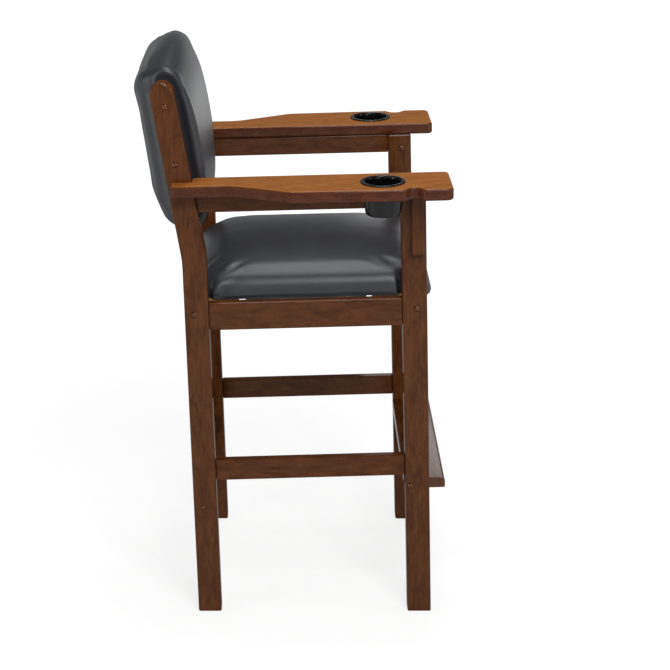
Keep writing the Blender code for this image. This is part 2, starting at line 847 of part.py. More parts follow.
def back():
    core_corners = [
        (back_bolt_y(core_bottom_z) - core_thickness / 2, core_bottom_z, 0),
        (back_bolt_y(core_bottom_z) + core_thickness / 2, core_bottom_z, 0),
        (back_bolt_y(core_top_z) + core_thickness / 2, core_top_z, 0),
        (back_bolt_y(core_top_z) - core_thickness / 2, core_top_z, 0),
    ]
    core = plank("back_core_board", core_corners, 2 * (inner_x - fit), "x", 0)
    finish(core, plywood)
    pad = puffed("back_cushion", pad_form, (0, 1, 2))
    middle_z = (core_bottom_z + core_top_z) / 2
    grown = [
        (y + math.copysign(fit, y - back_bolt_y(z)), z + math.copysign(fit, z - middle_z), 0)
        for y, z, radius in core_corners
    ]
    tunnel = plank("back_core_space", grown, 2 * (inner_x + overrun), "x", 0, collection=cutters)
    combine(pad, tunnel)
    finish(pad, vinyl, math.radians(60))
    return core


# Cup holders

def cup_holder(side_name, side):
    # A drop-in cup: flange on the arm, tapered body through the bore, rounded floor
    lip = cup_lip_height
    depth = -cup_depth
    throat = cup_top_radius - cup_wall
    well = cup_bottom_radius - cup_wall
    under = -arm_thickness
    profile = [
        (0, depth + cup_wall),
        (well - cup_floor_radius, depth + cup_wall),
        (well, depth + cup_wall + cup_floor_radius),
        (throat, lip - cup_lip_ease),
        (throat + cup_lip_ease, lip),
        (cup_flange_radius - cup_lip_ease, lip),
        (cup_flange_radius, lip - cup_lip_ease),
        (cup_flange_radius, fit),
        (cup_top_radius, fit),
        (cup_top_radius, under),
        (cup_bottom_radius, depth + cup_floor_radius),
        (cup_bottom_radius - cup_floor_radius, depth),
        (0, depth),
    ]
    turned(
        "cup_holder_" + side_name, profile, cup_sides, chair,
        (side * cup_x, cup_y, arm_top_z), (0, 0, 0), black_plastic,
    )


# Assembly

rear_legs = {}
front_legs = {}
for frame_side_name, frame_side in sides.items():
    rear_leg, front_leg, arm_socket = side_frame(frame_side_name, frame_side)
    rear_legs[frame_side_name] = rear_leg
    front_legs[frame_side_name] = front_leg
    arm(frame_side_name, frame_side, arm_socket)
    cup_holder(frame_side_name, frame_side)
    arm_bracket = bracket(frame_side_name, frame_side)
    screw_z = arm_rail_top_z - bracket_screw_drop
    screw_hole = rod(
        "bracket_screw_hole_" + frame_side_name, bolt_radius + bolt_hole_gap,
        bracket_screw_length + overrun,
        (frame_side * (inner_x + (bracket_screw_length - overrun) / 2 + fit), bracket_screw_y, screw_z), "x",
    )
    combine(front_leg, screw_hole)
    combine(arm_bracket, screw_hole)
    fastener(
        "bracket_screw_" + frame_side_name, (frame_side * (inner_x - fit), bracket_screw_y, screw_z),
        "x", -frame_side, bracket_screw_length, copper_steel,
    )

seat_middle_z = (seat_rail_bottom_z + seat_rail_top_z) / 2
front_rail = cross_rail(
    "seat_front_rail", seat_front_rail_y, seat_middle_z, seat_rail_height, seat_rail_thickness
)
rear_rail = cross_rail(
    "seat_rear_rail", seat_rear_rail_y, seat_middle_z, seat_rail_height, seat_rail_thickness
)
rear_stretcher = cross_rail(
    "rear_cross_stretcher", cross_stretcher_y, cross_stretcher_z, cross_stretcher_height,
    cross_stretcher_thickness,
)
bolt_set(front_rail, "seat_front", front_legs, seat_front_rail_y, seat_bolt_z, "z")
bolt_set(rear_rail, "seat_rear", rear_legs, seat_rear_rail_y, seat_bolt_z, "z")
bolt_set(rear_stretcher, "lower_rear", rear_legs, cross_stretcher_y, cross_stretcher_z, "z")
footrest(front_legs)

seat_board = seat()
for frame_side_name, frame_side in sides.items():
    for seat_end_name, seat_end in seat_ends.items():
        corner_block(seat_end_name, seat_end, frame_side_name, frame_side, seat_board)

back_core = back()
bolt_set(back_core, "upper_back", rear_legs, back_bolt_y(upper_back_bolt_z), upper_back_bolt_z, None)
bolt_set(back_core, "lower_back", rear_legs, back_bolt_y(lower_back_bolt_z), lower_back_bolt_z, None)
for leg_object in (*rear_legs.values(), *front_legs.values()):
    finish(leg_object, stained_wood)


# Stand the chair on the ground with the middle of its box over the origin

bpy.context.view_layer.update()
depsgraph = bpy.context.evaluated_depsgraph_get()
lowest = Vector((math.inf, math.inf, math.inf))
highest = -lowest
for item in chair.objects:
    if item.type != "MESH":
        continue
    evaluated = item.evaluated_get(depsgraph)
    for vertex in evaluated.data.vertices:
        point = evaluated.matrix_world @ vertex.co
        lowest = Vector(map(min, lowest, point))
        highest = Vector(map(max, highest, point))
middle = (lowest + highest) / 2
chair_lean.location = (-middle.x, -middle.y, -lowest.z)
bpy.context.view_layer.update()
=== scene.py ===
import math

import bpy
import numpy as np
from mathutils import Matrix, Vector


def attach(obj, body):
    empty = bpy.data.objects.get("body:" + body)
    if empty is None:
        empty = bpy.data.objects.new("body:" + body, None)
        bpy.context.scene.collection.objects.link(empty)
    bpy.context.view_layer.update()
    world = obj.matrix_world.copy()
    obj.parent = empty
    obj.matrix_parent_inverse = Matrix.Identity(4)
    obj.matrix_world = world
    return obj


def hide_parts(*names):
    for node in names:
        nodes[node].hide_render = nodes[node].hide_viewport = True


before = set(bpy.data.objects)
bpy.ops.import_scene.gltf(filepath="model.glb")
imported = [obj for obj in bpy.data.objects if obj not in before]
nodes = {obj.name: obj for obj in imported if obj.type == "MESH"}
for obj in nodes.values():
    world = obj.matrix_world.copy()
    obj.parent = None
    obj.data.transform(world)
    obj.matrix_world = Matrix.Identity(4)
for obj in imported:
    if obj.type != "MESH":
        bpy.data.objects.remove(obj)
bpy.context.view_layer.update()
print("stage: frame loaded,", len(nodes), "nodes")

# The chair is drawn square to its side frames and then leans back a little, as its feet are cut
chairStance = {
    "leanDegrees": 1.867,
    "shift": (0.0, -0.05233, -0.00782),
}
leanMatrix = (
    Matrix.Translation(chairStance["shift"])
    @ Matrix.Rotation(-math.radians(chairStance["leanDegrees"]), 4, "X")
)


def toFloorFrame(points):
    # Points drawn square to the side frames, turned and moved to where the chair stands
    turn = np.array(leanMatrix)
    return points @ turn[:3, :3].T + turn[:3, 3]


# Colours and shader nodes

def hexToLinear(code):
    # sRGB hex value to linear light, by the sRGB curve
    values = [int(code[i:i + 2], 16) / 255 for i in (1, 3, 5)]
    return (*[v / 12.92 if v <= 0.04045 else ((v + 0.055) / 1.055) ** 2.4 for v in values], 1.0)


def addNode(tree, kind, settings=None, links=None):
    # A key that names a socket sets that socket, any other key sets the node's own property
    node = tree.nodes.new(kind)
    for key, value in (settings or {}).items():
        if isinstance(key, int) or key in node.inputs:
            node.inputs[key].default_value = value
        else:
            setattr(node, key, value)
    for key, (source, output) in (links or {}).items():
        tree.links.new(source.outputs[output], node.inputs[key])
    return node


def addRamp(tree, stops, links):
    ramp = addNode(tree, "ShaderNodeValToRGB", {}, links)
    elements = ramp.color_ramp.elements
    while len(elements) < len(stops):
        elements.new(0.5)
    for element, (position, code) in zip(elements, stops):
        element.position = position
        element.color = hexToLinear(code)
    return ramp


def addMath(tree, operation, links, settings=None):
    return addNode(tree, "ShaderNodeMath", {"operation": operation, **(settings or {})}, links)


def addNoise(tree, vector, scale=1.0, detail=5.0, roughness=0.6, distortion=0.0):
    return addNode(
        tree, "ShaderNodeTexNoise",
        {"Scale": scale, "Detail": detail, "Roughness": roughness, "Distortion": distortion},
        {"Vector": vector},
    )


def startMaterial(name):
    # Gives the material, its nodes, the output node and the node that tells where a point is
    material = bpy.data.materials.new(name)
    material.use_nodes = True
    tree = material.node_tree
    tree.nodes.clear()
    output = tree.nodes.new("ShaderNodeOutputMaterial")
    return material, tree, output, addNode(tree, "ShaderNodeTexCoord")


def addSurface(tree, output, settings, links):
    shader = addNode(tree, "ShaderNodeBsdfPrincipled", settings, links)
    tree.links.new(shader.outputs["BSDF"], output.inputs["Surface"])


# Rubberwood, wiped with a dark cherry stain and sprayed with clear nitrocellulose lacquer. The stain
# soaks in unevenly, so the wood is softly mottled along its grain.
woodLook = {
    "fibreWidth": 0.0026,  # metres: width and length of one streak of figure
    "fibreLength": 0.060,
    "poreWidth": 0.0007,  # real pores are about 0.25 mm wide, drawn coarser to show
    "poreLength": 0.009,
    "blotchWidth": 0.016,
    "blotchLength": 0.045,
    "poreDepth": 0.00005,
    "poreShare": 0.38,  # how far a pore darkens the wood
    "figureShare": 0.42,  # the rest of the mottling comes from the blotches
    "roughness": 0.5,  # under the lacquer, which makes all of the shine
    "lacquer": 0.45,
    "lacquerRoughness": 0.12,
}
stainStops = [(0.28, "deep"), (0.43, "low"), (0.53, "middle"), (0.72, "high")]
# The footrest has a thicker, glossier coat against shoes
footrestLook = {**woodLook, "lacquer": 1.0, "lacquerRoughness": 0.16}
frameStain = {"deep": "#452110", "low": "#5d3318", "middle": "#693d1f", "high": "#794a27"}
railStain = {"deep": "#472210", "low": "#5c3217", "middle": "#683b1e", "high": "#774726"}
# Lit and shaded copies of the arm's stain: the lighter amber top is painted light, the darker red-brown
# sides are painted shade
armLitTopStain = {"deep": "#905624", "low": "#9f602c", "middle": "#a96930", "high": "#b5763a"}
armShadedSidesStain = {"deep": "#431f12", "low": "#562d1b", "middle": "#613523", "high": "#6f422c"}


def lacqueredWood(name, stain, grain, look=woodLook, paintedShadeStain=None):
    material, tree, output, place = startMaterial(name)

    def stretched(feature):
        # Drawn out along the grain
        scale = [1 / look[feature + "Width"]] * 3
        scale["XYZ".index(grain)] = 1 / look[feature + "Length"]
        mapping = addNode(tree, "ShaderNodeMapping", {"Scale": scale}, {"Vector": (place, "Object")})
        return mapping, "Vector"

    figure = addNoise(tree, stretched("fibre"), detail=5.0, roughness=0.55, distortion=0.25)
    blotch = addNoise(tree, stretched("blotch"), detail=3.0, roughness=0.5, distortion=0.6)
    pores = addNoise(tree, stretched("pore"), detail=1.0, roughness=0.5)
    blotchPart = addMath(tree, "MULTIPLY", {0: (blotch, "Fac")}, {1: 1 - look["figureShare"]})
    mix = addMath(
        tree, "MULTIPLY_ADD", {0: (figure, "Fac"), 2: (blotchPart, 0)}, {1: look["figureShare"]}
    )

    def stainRamp(shades):
        stops = [(at, shades[shade]) for at, shade in stainStops]
        return addRamp(tree, stops, {"Fac": (mix, 0)})

    colour = stainRamp(stain)
    if paintedShadeStain:
        # Painted shade: faces that turn away from straight up take the darker stain, standing in for
        # the shade that falls on the sides while the top is lit
        shape = addNode(tree, "ShaderNodeNewGeometry")
        facing = addNode(tree, "ShaderNodeSeparateXYZ", {}, {"Vector": (shape, "Normal")})
        level = addNode(
            tree, "ShaderNodeMapRange", {"From Min": 0.62, "From Max": 0.93}, {"Value": (facing, "Z")}
        )
        paintedShadeColour = stainRamp(paintedShadeStain)
        colour = addNode(
            tree, "ShaderNodeMixRGB", {"blend_type": "MIX"},
            {"Fac": (level, "Result"), "Color1": (paintedShadeColour, "Color"), "Color2": (colour, "Color")},
        )
    poreMask = addNode(
        tree, "ShaderNodeMapRange",
        {"From Min": 0.30, "From Max": 0.42, "To Min": 1.0, "To Max": 0.0}, {"Value": (pores, "Fac")},
    )
    poreStrength = addMath(tree, "MULTIPLY", {0: (poreMask, "Result")}, {1: look["poreShare"]})
    stained = addNode(
        tree, "ShaderNodeMixRGB", {"blend_type": "MIX", "Color2": hexToLinear(stain["deep"])},
        {"Fac": (poreStrength, 0), "Color1": (colour, "Color")},
    )
    relief = addNode(
        tree, "ShaderNodeBump", {"Strength": 0.3, "Distance": look["poreDepth"], "invert": True},
        {"Height": (poreMask, "Result")},
    )
    addSurface(
        tree, output,
        {
            "Roughness": look["roughness"], "Specular IOR Level": 0.0,
            "Coat Weight": look["lacquer"], "Coat Roughness": look["lacquerRoughness"],
        },
        {"Base Color": (stained, "Color"), "Normal": (relief, "Normal")},
    )
    return material


# Bonded vinyl upholstery cloth, calendered on a grain roller: a fine pebble that breaks up the
# highlight, charcoal with a cool cast
vinylLook = {
    "colour": "#2c2f35",
    "colourWorn": "#33373e",
    "pebble": 0.0013,  # metres across one grain pebble
    "pebbleDepth": 0.00014,
    "roughness": 0.42,
    "shine": 0.7,
}


def grainedVinyl(name):
    look = vinylLook
    material, tree, output, place = startMaterial(name)
    pebbles = addNode(
        tree, "ShaderNodeTexVoronoi", {"feature": "SMOOTH_F1", "Scale": 1 / look["pebble"]},
        {"Vector": (place, "Object")},
    )
    cloudy = addNoise(tree, (place, "Object"), scale=18.0, detail=4.0, roughness=0.6)
    colour = addRamp(
        tree, [(0.35, look["colour"]), (0.7, look["colourWorn"])], {"Fac": (cloudy, "Fac")}
    )
    relief = addNode(
        tree, "ShaderNodeBump", {"Strength": 0.5, "Distance": look["pebbleDepth"], "invert": True},
        {"Height": (pebbles, "Distance")},
    )
    addSurface(
        tree, output, {"Roughness": look["roughness"], "Specular IOR Level": look["shine"]},
        {"Base Color": (colour, "Color"), "Normal": (relief, "Normal")},
    )
    return material


# ABS, injection moulded in a polished tool: deep black and glossy, with faint scuffing
def mouldedAbs(name):
    material, tree, output, place = startMaterial(name)
    scuffs = addNoise(tree, (place, "Object"), scale=140.0, detail=5.0, roughness=0.7)
    gloss = addNode(
        tree, "ShaderNodeMapRange",
        {"From Min": 0.35, "From Max": 0.75, "To Min": 0.16, "To Max": 0.26},
        {"Value": (scuffs, "Fac")},
    )
    addSurface(
        tree, output, {"Base Color": hexToLinear("#0d0d0f"), "Specular IOR Level": 0.45},
        {"Roughness": (gloss, "Result")},
    )
    return material


# Steel, turned or drawn and then electroplated
def platedSteel(name, bright, dull, roughness):
    material, tree, output, place = startMaterial(name)
    patches = addNoise(tree, (place, "Object"), scale=420.0, detail=4.0, roughness=0.6)
    colour = addRamp(tree, [(0.38, dull), (0.62, bright)], {"Fac": (patches, "Fac")})
    addSurface(
        tree, output, {"Metallic": 1.0, "Roughness": roughness}, {"Base Color": (colour, "Color")}
    )
    return material


# Birch plywood, sanded and left bare
def barePlywood(name):
    material, tree, output, place = startMaterial(name)
    spread = addNode(
        tree, "ShaderNodeMapping", {"Scale": (20.0, 160.0, 700.0)}, {"Vector": (place, "Object")}
    )
    figure = addNoise(tree, (spread, "Vector"), detail=5.0, roughness=0.6)
    colour = addRamp(tree, [(0.3, "#a5824f"), (0.7, "#cbab78")], {"Fac": (figure, "Fac")})
    addSurface(
        tree, output, {"Roughness": 0.72, "Specular IOR Level": 0.3}, {"Base Color": (colour, "Color")}
    )
    return material


stainedUpright = lacqueredWood("stained lacquered rubberwood upright grain", frameStain, "Z")
stainedRail = lacqueredWood("stained lacquered rubberwood rail grain", railStain, "Y")
stainedCross = lacqueredWood("stained lacquered rubberwood cross grain", railStain, "X")
footrestWood = lacqueredWood("glossy lacquered rubberwood footrest", railStain, "X", look=footrestLook)
# The arm's top takes the painted light stain and its sides the painted shade stain, chosen by which way
# each face turns
armWoodPaintedLight = lacqueredWood("amber stained lacquered rubberwood", armLitTopStain, "Y", paintedShadeStain=armShadedSidesStain)
seatVinyl = grainedVinyl("calendered grained vinyl")
cupPlastic = mouldedAbs("moulded black ABS")
copperPlate = platedSteel("antique copper plated steel", "#9c6a52", "#3a1e15", 0.2)
zincPlate = platedSteel("zinc plated steel", "#c8c8c4", "#8e8f8d", 0.36)
plywood = barePlywood("sanded birch plywood")

finishByNode = {
    "rear_leg": stainedUpright,
    "front_leg": stainedUpright,
    "arm_bracket": stainedUpright,
    "seat_side_rail": stainedRail,
    "side_stretcher": stainedRail,
    "arm_rail": stainedRail,
    "seat_front_rail": stainedCross,
    "seat_rear_rail": stainedCross,
    "rear_cross_stretcher": stainedCross,
    "footrest_board": footrestWood,
    "arm_left": armWoodPaintedLight,
    "arm_right": armWoodPaintedLight,
    "seat_cushion": seatVinyl,
    "back_cushion": seatVinyl,
    "cup_holder": cupPlastic,
    "seat_board": plywood,
    "back_core_board": plywood,
}


def setFinish(item, material):
    item.data.materials.clear()
    item.data.materials.append(material)


for nodeName, node in nodes.items():
    if nodeName.endswith("_bolt"):
        setFinish(node, copperPlate)
    elif nodeName.endswith("_nut") or "_screw_" in nodeName:
        setFinish(node, zincPlate)
    elif "_corner_block_" in nodeName:
        setFinish(node, plywood)
    else:
        matches = [finishByNode[start] for start in finishByNode if nodeName.startswith(start)]
        setFinish(node, matches[0])
print("stage: finishes on the frame's nodes")


# Shapes for the new pieces

def smooth(value):
    # Eases from 0 to 1 as the value goes from 0 to 1, flat at both ends
    value = np.clip(value, 0, 1)
    return value * value * (3 - 2 * value)


def closedCurve(knots, count, spanSteps=40):
    # Closed curve through the knots: each span is a cubic whose slope at a knot is that of the
    # line between its neighbours, scaled to the knots' spacing. It is then spread evenly.
    spans = np.linalg.norm(np.roll(knots, -1, 0) - knots, axis=1)
    before, after = np.roll(spans, 1), spans
    slopes = (np.roll(knots, -1, 0) - np.roll(knots, 1, 0)) / (before + after)[:, None]
    t = np.linspace(0, 1, spanSteps, endpoint=False)[None, :, None]
    start, end = knots[:, None], np.roll(knots, -1, 0)[:, None]
    leave = (slopes * spans[:, None])[:, None]
    arrive = (np.roll(slopes, -1, 0) * spans[:, None])[:, None]
    path = (
        (2 * t ** 3 - 3 * t ** 2 + 1) * start + (t ** 3 - 2 * t ** 2 + t) * leave
        + (3 * t ** 2 - 2 * t ** 3) * end + (t ** 3 - t ** 2) * arrive
    ).reshape(-1, knots.shape[1])
    steps = np.linalg.norm(np.roll(path, -1, 0) - path, axis=1)
    along = np.concatenate(([0], np.cumsum(steps)))
    wanted = np.linspace(0, along[-1], count, endpoint=False)
    looped = np.vstack((path, path[:1]))
    return np.stack([np.interp(wanted, along, looped[:, k]) for k in range(knots.shape[1])], 1)


def addPiece(name, points, faces):
    mesh = bpy.data.meshes.new(name)
    mesh.from_pydata(toFloorFrame(points).tolist(), [], faces)
    mesh.shade_smooth()
    piece = bpy.data.objects.new(name, mesh)
    bpy.context.scene.collection.objects.link(piece)
    return piece


def quadsBetween(rows, columns, start=0):
    # Faces that join rows of points, where each row is a closed ring; start is the first point's number
    column = np.arange(columns)
    nextColumn = np.roll(column, -1)
    row = start + np.arange(rows - 1)[:, None] * columns
    nextRow = row + columns
    corners = (row + column, row + nextColumn, nextRow + nextColumn, nextRow + column)
    return np.stack(corners, -1).reshape(-1, 4)


def ringSurface(name, rings, poles, inward=False):
    # Rings of points joined row by row, with a pole that closes each open end
    rows, columns = rings.shape[:2]
    points = np.vstack((rings.reshape(-1, 3), poles))
    column = np.arange(columns)
    nextColumn = np.roll(column, -1)
    first, last = rows * columns, rows * columns + 1
    end = (rows - 1) * columns
    faces = quadsBetween(rows, columns).tolist()
    faces += np.stack((nextColumn, column, np.full(columns, first)), 1).tolist()
    faces += np.stack((end + column, end + nextColumn, np.full(columns, last)), 1).tolist()
    if inward:
        faces = [face[::-1] for face in faces]
    return addPiece(name, points, faces)


def pointsOf(piece):
    # The piece's points, back in the frame that is square to the chair
    flat = np.empty(len(piece.data.vertices) * 3)
    piece.data.vertices.foreach_get("co", flat)
    turn = np.array(leanMatrix)
    return (flat.reshape(-1, 3) - turn[:3, 3]) @ turn[:3, :3]


def setPoints(piece, points):
    piece.data.vertices.foreach_set("co", toFloorFrame(points).ravel())
    piece.data.update()


def applyModifiers(piece):
    # The shape as the modifiers leave it becomes the piece's own mesh
    shaped = piece.evaluated_get(bpy.context.evaluated_depsgraph_get())
    mesh = bpy.data.meshes.new_from_object(shaped)
    piece.modifiers.clear()
    piece.data = mesh


def drawnIn(piece, distance, free):
    # Each point moves in along its normal by the distance, times the share that free() gives it
    piece.data.update()
    normals = np.empty(len(piece.data.vertices) * 3)
    piece.data.vertices.foreach_get("normal", normals)
    turn = np.array(leanMatrix)[:3, :3]
    points = pointsOf(piece)
    setPoints(piece, points - distance * (normals.reshape(-1, 3) @ turn) * free(points))


# Vinyl cover over foam, as the cloth step takes it
coverLook = {
    "voxel": 0.005,  # metres: side of a face in the even mesh
    "pressure": 4.0,
    "stiffness": 15.0,
    "bending": 2.0,
    "frames": 20,
    "easingFactor": 0.5,
    "noReach": 1e-9,  # keeps a point that doesn't move out of a division by zero
}


def stuffed(piece, look, held):
    # Foam under a cover: the form is remeshed evenly and blown up a little as cloth, with the points
    # that held() marks kept where they are. No point moves further than the cap.
    cover = coverLook
    remesh = piece.modifiers.new("even mesh", "REMESH")
    remesh.mode = "VOXEL"
    remesh.voxel_size = cover["voxel"]
    applyModifiers(piece)
    still = pointsOf(piece)
    group = piece.vertex_groups.new(name="held")
    weights = held(still)
    for level in (1.0, 0.5):
        chosen = np.flatnonzero(weights == level)
        group.add(chosen.tolist(), level, "REPLACE")
    cloth = piece.modifiers.new("cover", "CLOTH")
    cloth.settings.use_pressure = True
    cloth.settings.uniform_pressure_force = cover["pressure"]
    cloth.settings.effector_weights.gravity = 0
    cloth.settings.vertex_group_mass = "held"
    cloth.settings.tension_stiffness = cover["stiffness"]
    cloth.settings.compression_stiffness = cover["stiffness"]
    cloth.settings.bending_stiffness = cover["bending"]
    cloth.point_cache.frame_start = 1
    cloth.point_cache.frame_end = cover["frames"]
    for frameNumber in range(1, cover["frames"] + 1):
        bpy.context.scene.frame_set(frameNumber)
    applyModifiers(piece)
    piece.vertex_groups.clear()
    bpy.context.scene.frame_set(1)
    shift = pointsOf(piece) - still
    reach = np.linalg.norm(shift, axis=1, keepdims=True)
    print("stage:", piece.name, "swells by", round(float(np.percentile(reach, 98)) * 1000, 2), "mm")
    shift *= look["cap"] * np.tanh(reach / look["cap"]) / np.maximum(reach, cover["noReach"])
    setPoints(piece, still + shift)
    # Foam under the cover evens out small waves
    easing = piece.modifiers.new("even cover", "SMOOTH")
    easing.factor = cover["easingFactor"]
    easing.iterations = look["easing"]
    subdivision = piece.modifiers.new("finer mesh", "SUBSURF")
    subdivision.levels = 1
    subdivision.render_levels = 1
    applyModifiers(piece)
    piece.data.shade_smooth()


# Back pad: foam over a board, wrapped in vinyl that is drawn in round the two posts
padLook = {
    "endX": 0.2262,
    "stations": 60,
    "around": 150,
    "capRings": 26,
    "capCrowding": 1.5,  # above 1, the end's rings lie closer together near its edge
    "frontRidge": 0.015,  # rounding of the end's edge, at the front, top and rear
    "topRidge": 0.010,
    "rearRidge": 0.021,
    "topRidgeShare": 0.7,
    "topFromZ": 1.20,  # where the top's rounding starts, and over what height
    "topBlend": 0.05,
    "rearFrom": -0.012,  # where the rear starts behind the posts' middle line, and blends
    "rearBlend": 0.04,
    "rearFallShare": 0.08,  # the rear falls away this much, and then turns in at its ends
    "rearTurnPower": 16,
    "lowestSpineZ": 0.93,
    "centreZ": 1.07,
    "coveDepth": 0.008,  # the cover is pulled in round the post
    "coveWidth": 0.019,
    "easing": 2,
    "cap": 0.0045,
    "slack": 0.002,  # the form starts this much inside, as the cover swells
    "tautReach": 0.020,  # but not this near the ends
    "halfHeldReach": 0.030,  # the cover is held half, and fully, this near the ends
    "heldReach": 0.016,
}
# Rolled edge of the cover round the post's head: places and widths across the two ridges and the
# groove, as distances from the post
rollLook = {
    "height": 0.0011,
    "inner": 0.0165,
    "innerWidth": 0.0016,
    "groove": 0.0190,
    "grooveShare": 0.9,
    "outer": 0.0215,
    "outerShare": 0.8,
    "fineWidth": 0.0014,
    "fadeFrom": 0.024,  # it fades out away from the pad's end
    "fadeBlend": 0.008,
    "lowZ": 1.205,  # and below this line, which climbs to the rear from its Y
    "lowY": 0.285,
    "climb": 0.35,
    "lowBlend": 0.030,
}
# Outline at the end of the pad and in its middle, in Y and Z
padEnd = [
    (0.2166, 0.9195), (0.2058, 0.9488), (0.2066, 1.0294), (0.2090, 1.0638), (0.2195, 1.1350),
    (0.2308, 1.1850), (0.2430, 1.2170), (0.2600, 1.2505), (0.2845, 1.2625), (0.3050, 1.2530),
    (0.3145, 1.2380), (0.3160, 1.2150), (0.3075, 1.1600), (0.2995, 1.1000), (0.2900, 1.0200),
    (0.2804, 0.9500), (0.2700, 0.9150), (0.2450, 0.9020),
]
padMiddle = [
    (0.2130, 0.9150), (0.2000, 0.9450), (0.1992, 1.0294), (0.2020, 1.0700), (0.2098, 1.1350),
    (0.2198, 1.1900), (0.2350, 1.2350), (0.2545, 1.2725), (0.2810, 1.2855), (0.3200, 1.2650),
    (0.3500, 1.2440), (0.3590, 1.2170), (0.3528, 1.1750), (0.3425, 1.1000), (0.3322, 1.0200),
    (0.3235, 0.9560), (0.3010, 0.9140), (0.2500, 0.9000),
]


# Middle line of the raked posts: Y at the lower bolt's height, run back for each unit of height, and
# the height of the round head's centre
postLine = {"y": 0.2682, "z": 1.066, "rake": 0.1455, "lowZ": 0.5, "headZ": 1.2135, "halfDepth": 0.0256}


def postSpine(z):
    return postLine["y"] + postLine["rake"] * (z - postLine["z"])


def postDistance(y, z):
    # Distance from the post's face seen from the side: from its middle line, less half its depth
    length = math.hypot(postLine["rake"], 1)
    along = ((y - postSpine(0)) * postLine["rake"] + z) / length
    height = np.clip(along / length, postLine["lowZ"], postLine["headZ"])
    return np.hypot(y - postSpine(height), z - height) - postLine["halfDepth"]


def padSurface():
    # Rows run across the pad: outline = end + (middle - end) * (1 - x^2). The rear uses 1 - a x^2 -
    # (1 - a) x^n with a small and n high, so it stays full and turns in sharply at the ends. The end
    # rows shrink on to the post's middle line while X follows a quarter circle and then the cove.
    look = padLook
    knots = np.hstack((padEnd, padMiddle))
    curve = closedCurve(knots, look["around"])
    end, middle = curve[:, :2], curve[:, 2:]
    rear = smooth((end[:, 0] - postSpine(end[:, 1]) - look["rearFrom"]) / look["rearBlend"])
    high = smooth((end[:, 1] - look["topFromZ"]) / look["topBlend"])
    ridge = look["frontRidge"] + (look["rearRidge"] - look["frontRidge"]) * rear
    ridge = ridge + (look["topRidge"] - ridge) * high * look["topRidgeShare"]
    x = np.linspace(-1, 1, look["stations"])[:, None]
    fall = look["rearFallShare"]
    rearFull = 1 - fall * x ** 2 - (1 - fall) * x ** look["rearTurnPower"]
    full = (1 - x ** 2) * (1 - rear) + rearFull * rear
    profile = end + (middle - end) * full[..., None]
    body = np.concatenate((x[..., None] * (look["endX"] - ridge)[None, :, None], profile), 2)
    spineZ = np.clip(end[:, 1], look["lowestSpineZ"], postLine["headZ"])
    spine = np.stack((postSpine(spineZ), spineZ), 1)
    reach = np.linalg.norm(spine - end, axis=1)
    share = (np.arange(1, look["capRings"]) / look["capRings"])[:, None] ** look["capCrowding"]
    inner = end + (spine - end) * share[..., None]
    inside = share * reach
    turned = np.sqrt(np.maximum(ridge ** 2 - np.maximum(ridge - inside, 0) ** 2, 0))
    cove = smooth(1 - postDistance(inner[..., 0], inner[..., 1]) / look["coveWidth"])
    capX = look["endX"] - ridge + turned - look["coveDepth"] * cove
    cap = np.concatenate((capX[..., None], inner), 2)
    mirrored = cap[::-1] * (-1, 1, 1)
    rings = np.concatenate((mirrored, body, cap))
    centre = (postSpine(look["centreZ"]), look["centreZ"])
    depth = look["endX"] - look["coveDepth"]
    return rings, [(-depth, *centre), (depth, *centre)]


def coverRoll(points):
    # How far the roll stands out at each point: two bell-shaped ridges less the groove between
    look = rollLook
    away = postDistance(points[:, 1], points[:, 2])
    ridges = np.exp(-((away - look["inner"]) / look["innerWidth"]) ** 2)
    ridges += look["outerShare"] * np.exp(-((away - look["outer"]) / look["fineWidth"]) ** 2)
    groove = look["grooveShare"] * np.exp(-((away - look["groove"]) / look["fineWidth"]) ** 2)
    ahead = smooth((np.abs(points[:, 0]) - padLook["endX"] + look["fadeFrom"]) / look["fadeBlend"])
    line = look["lowZ"] + look["climb"] * (points[:, 1] - look["lowY"])
    above = smooth((points[:, 2] - line) / look["lowBlend"])
    return look["height"] * (ridges - groove) * ahead * above


def makePad():
    look = padLook
    rings, poles = padSurface()
    pad = ringSurface("back_pad", rings, poles, inward=True)
    drawnIn(pad, look["slack"], lambda points: np.abs(points[:, :1]) < look["endX"] - look["tautReach"])

    def held(points):
        weights = np.zeros(len(points))
        weights[np.abs(points[:, 0]) > look["endX"] - look["halfHeldReach"]] = 0.5
        weights[np.abs(points[:, 0]) > look["endX"] - look["heldReach"]] = 1.0
        return weights

    stuffed(pad, look, held)
    points = pointsOf(pad)
    points[:, 0] += np.sign(points[:, 0]) * coverRoll(points)
    points[:, 0] = np.clip(points[:, 0], -look["endX"], look["endX"])
    setPoints(pad, points)
    setFinish(pad, seatVinyl)
    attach(pad, "frame")
    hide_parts("back_cushion")


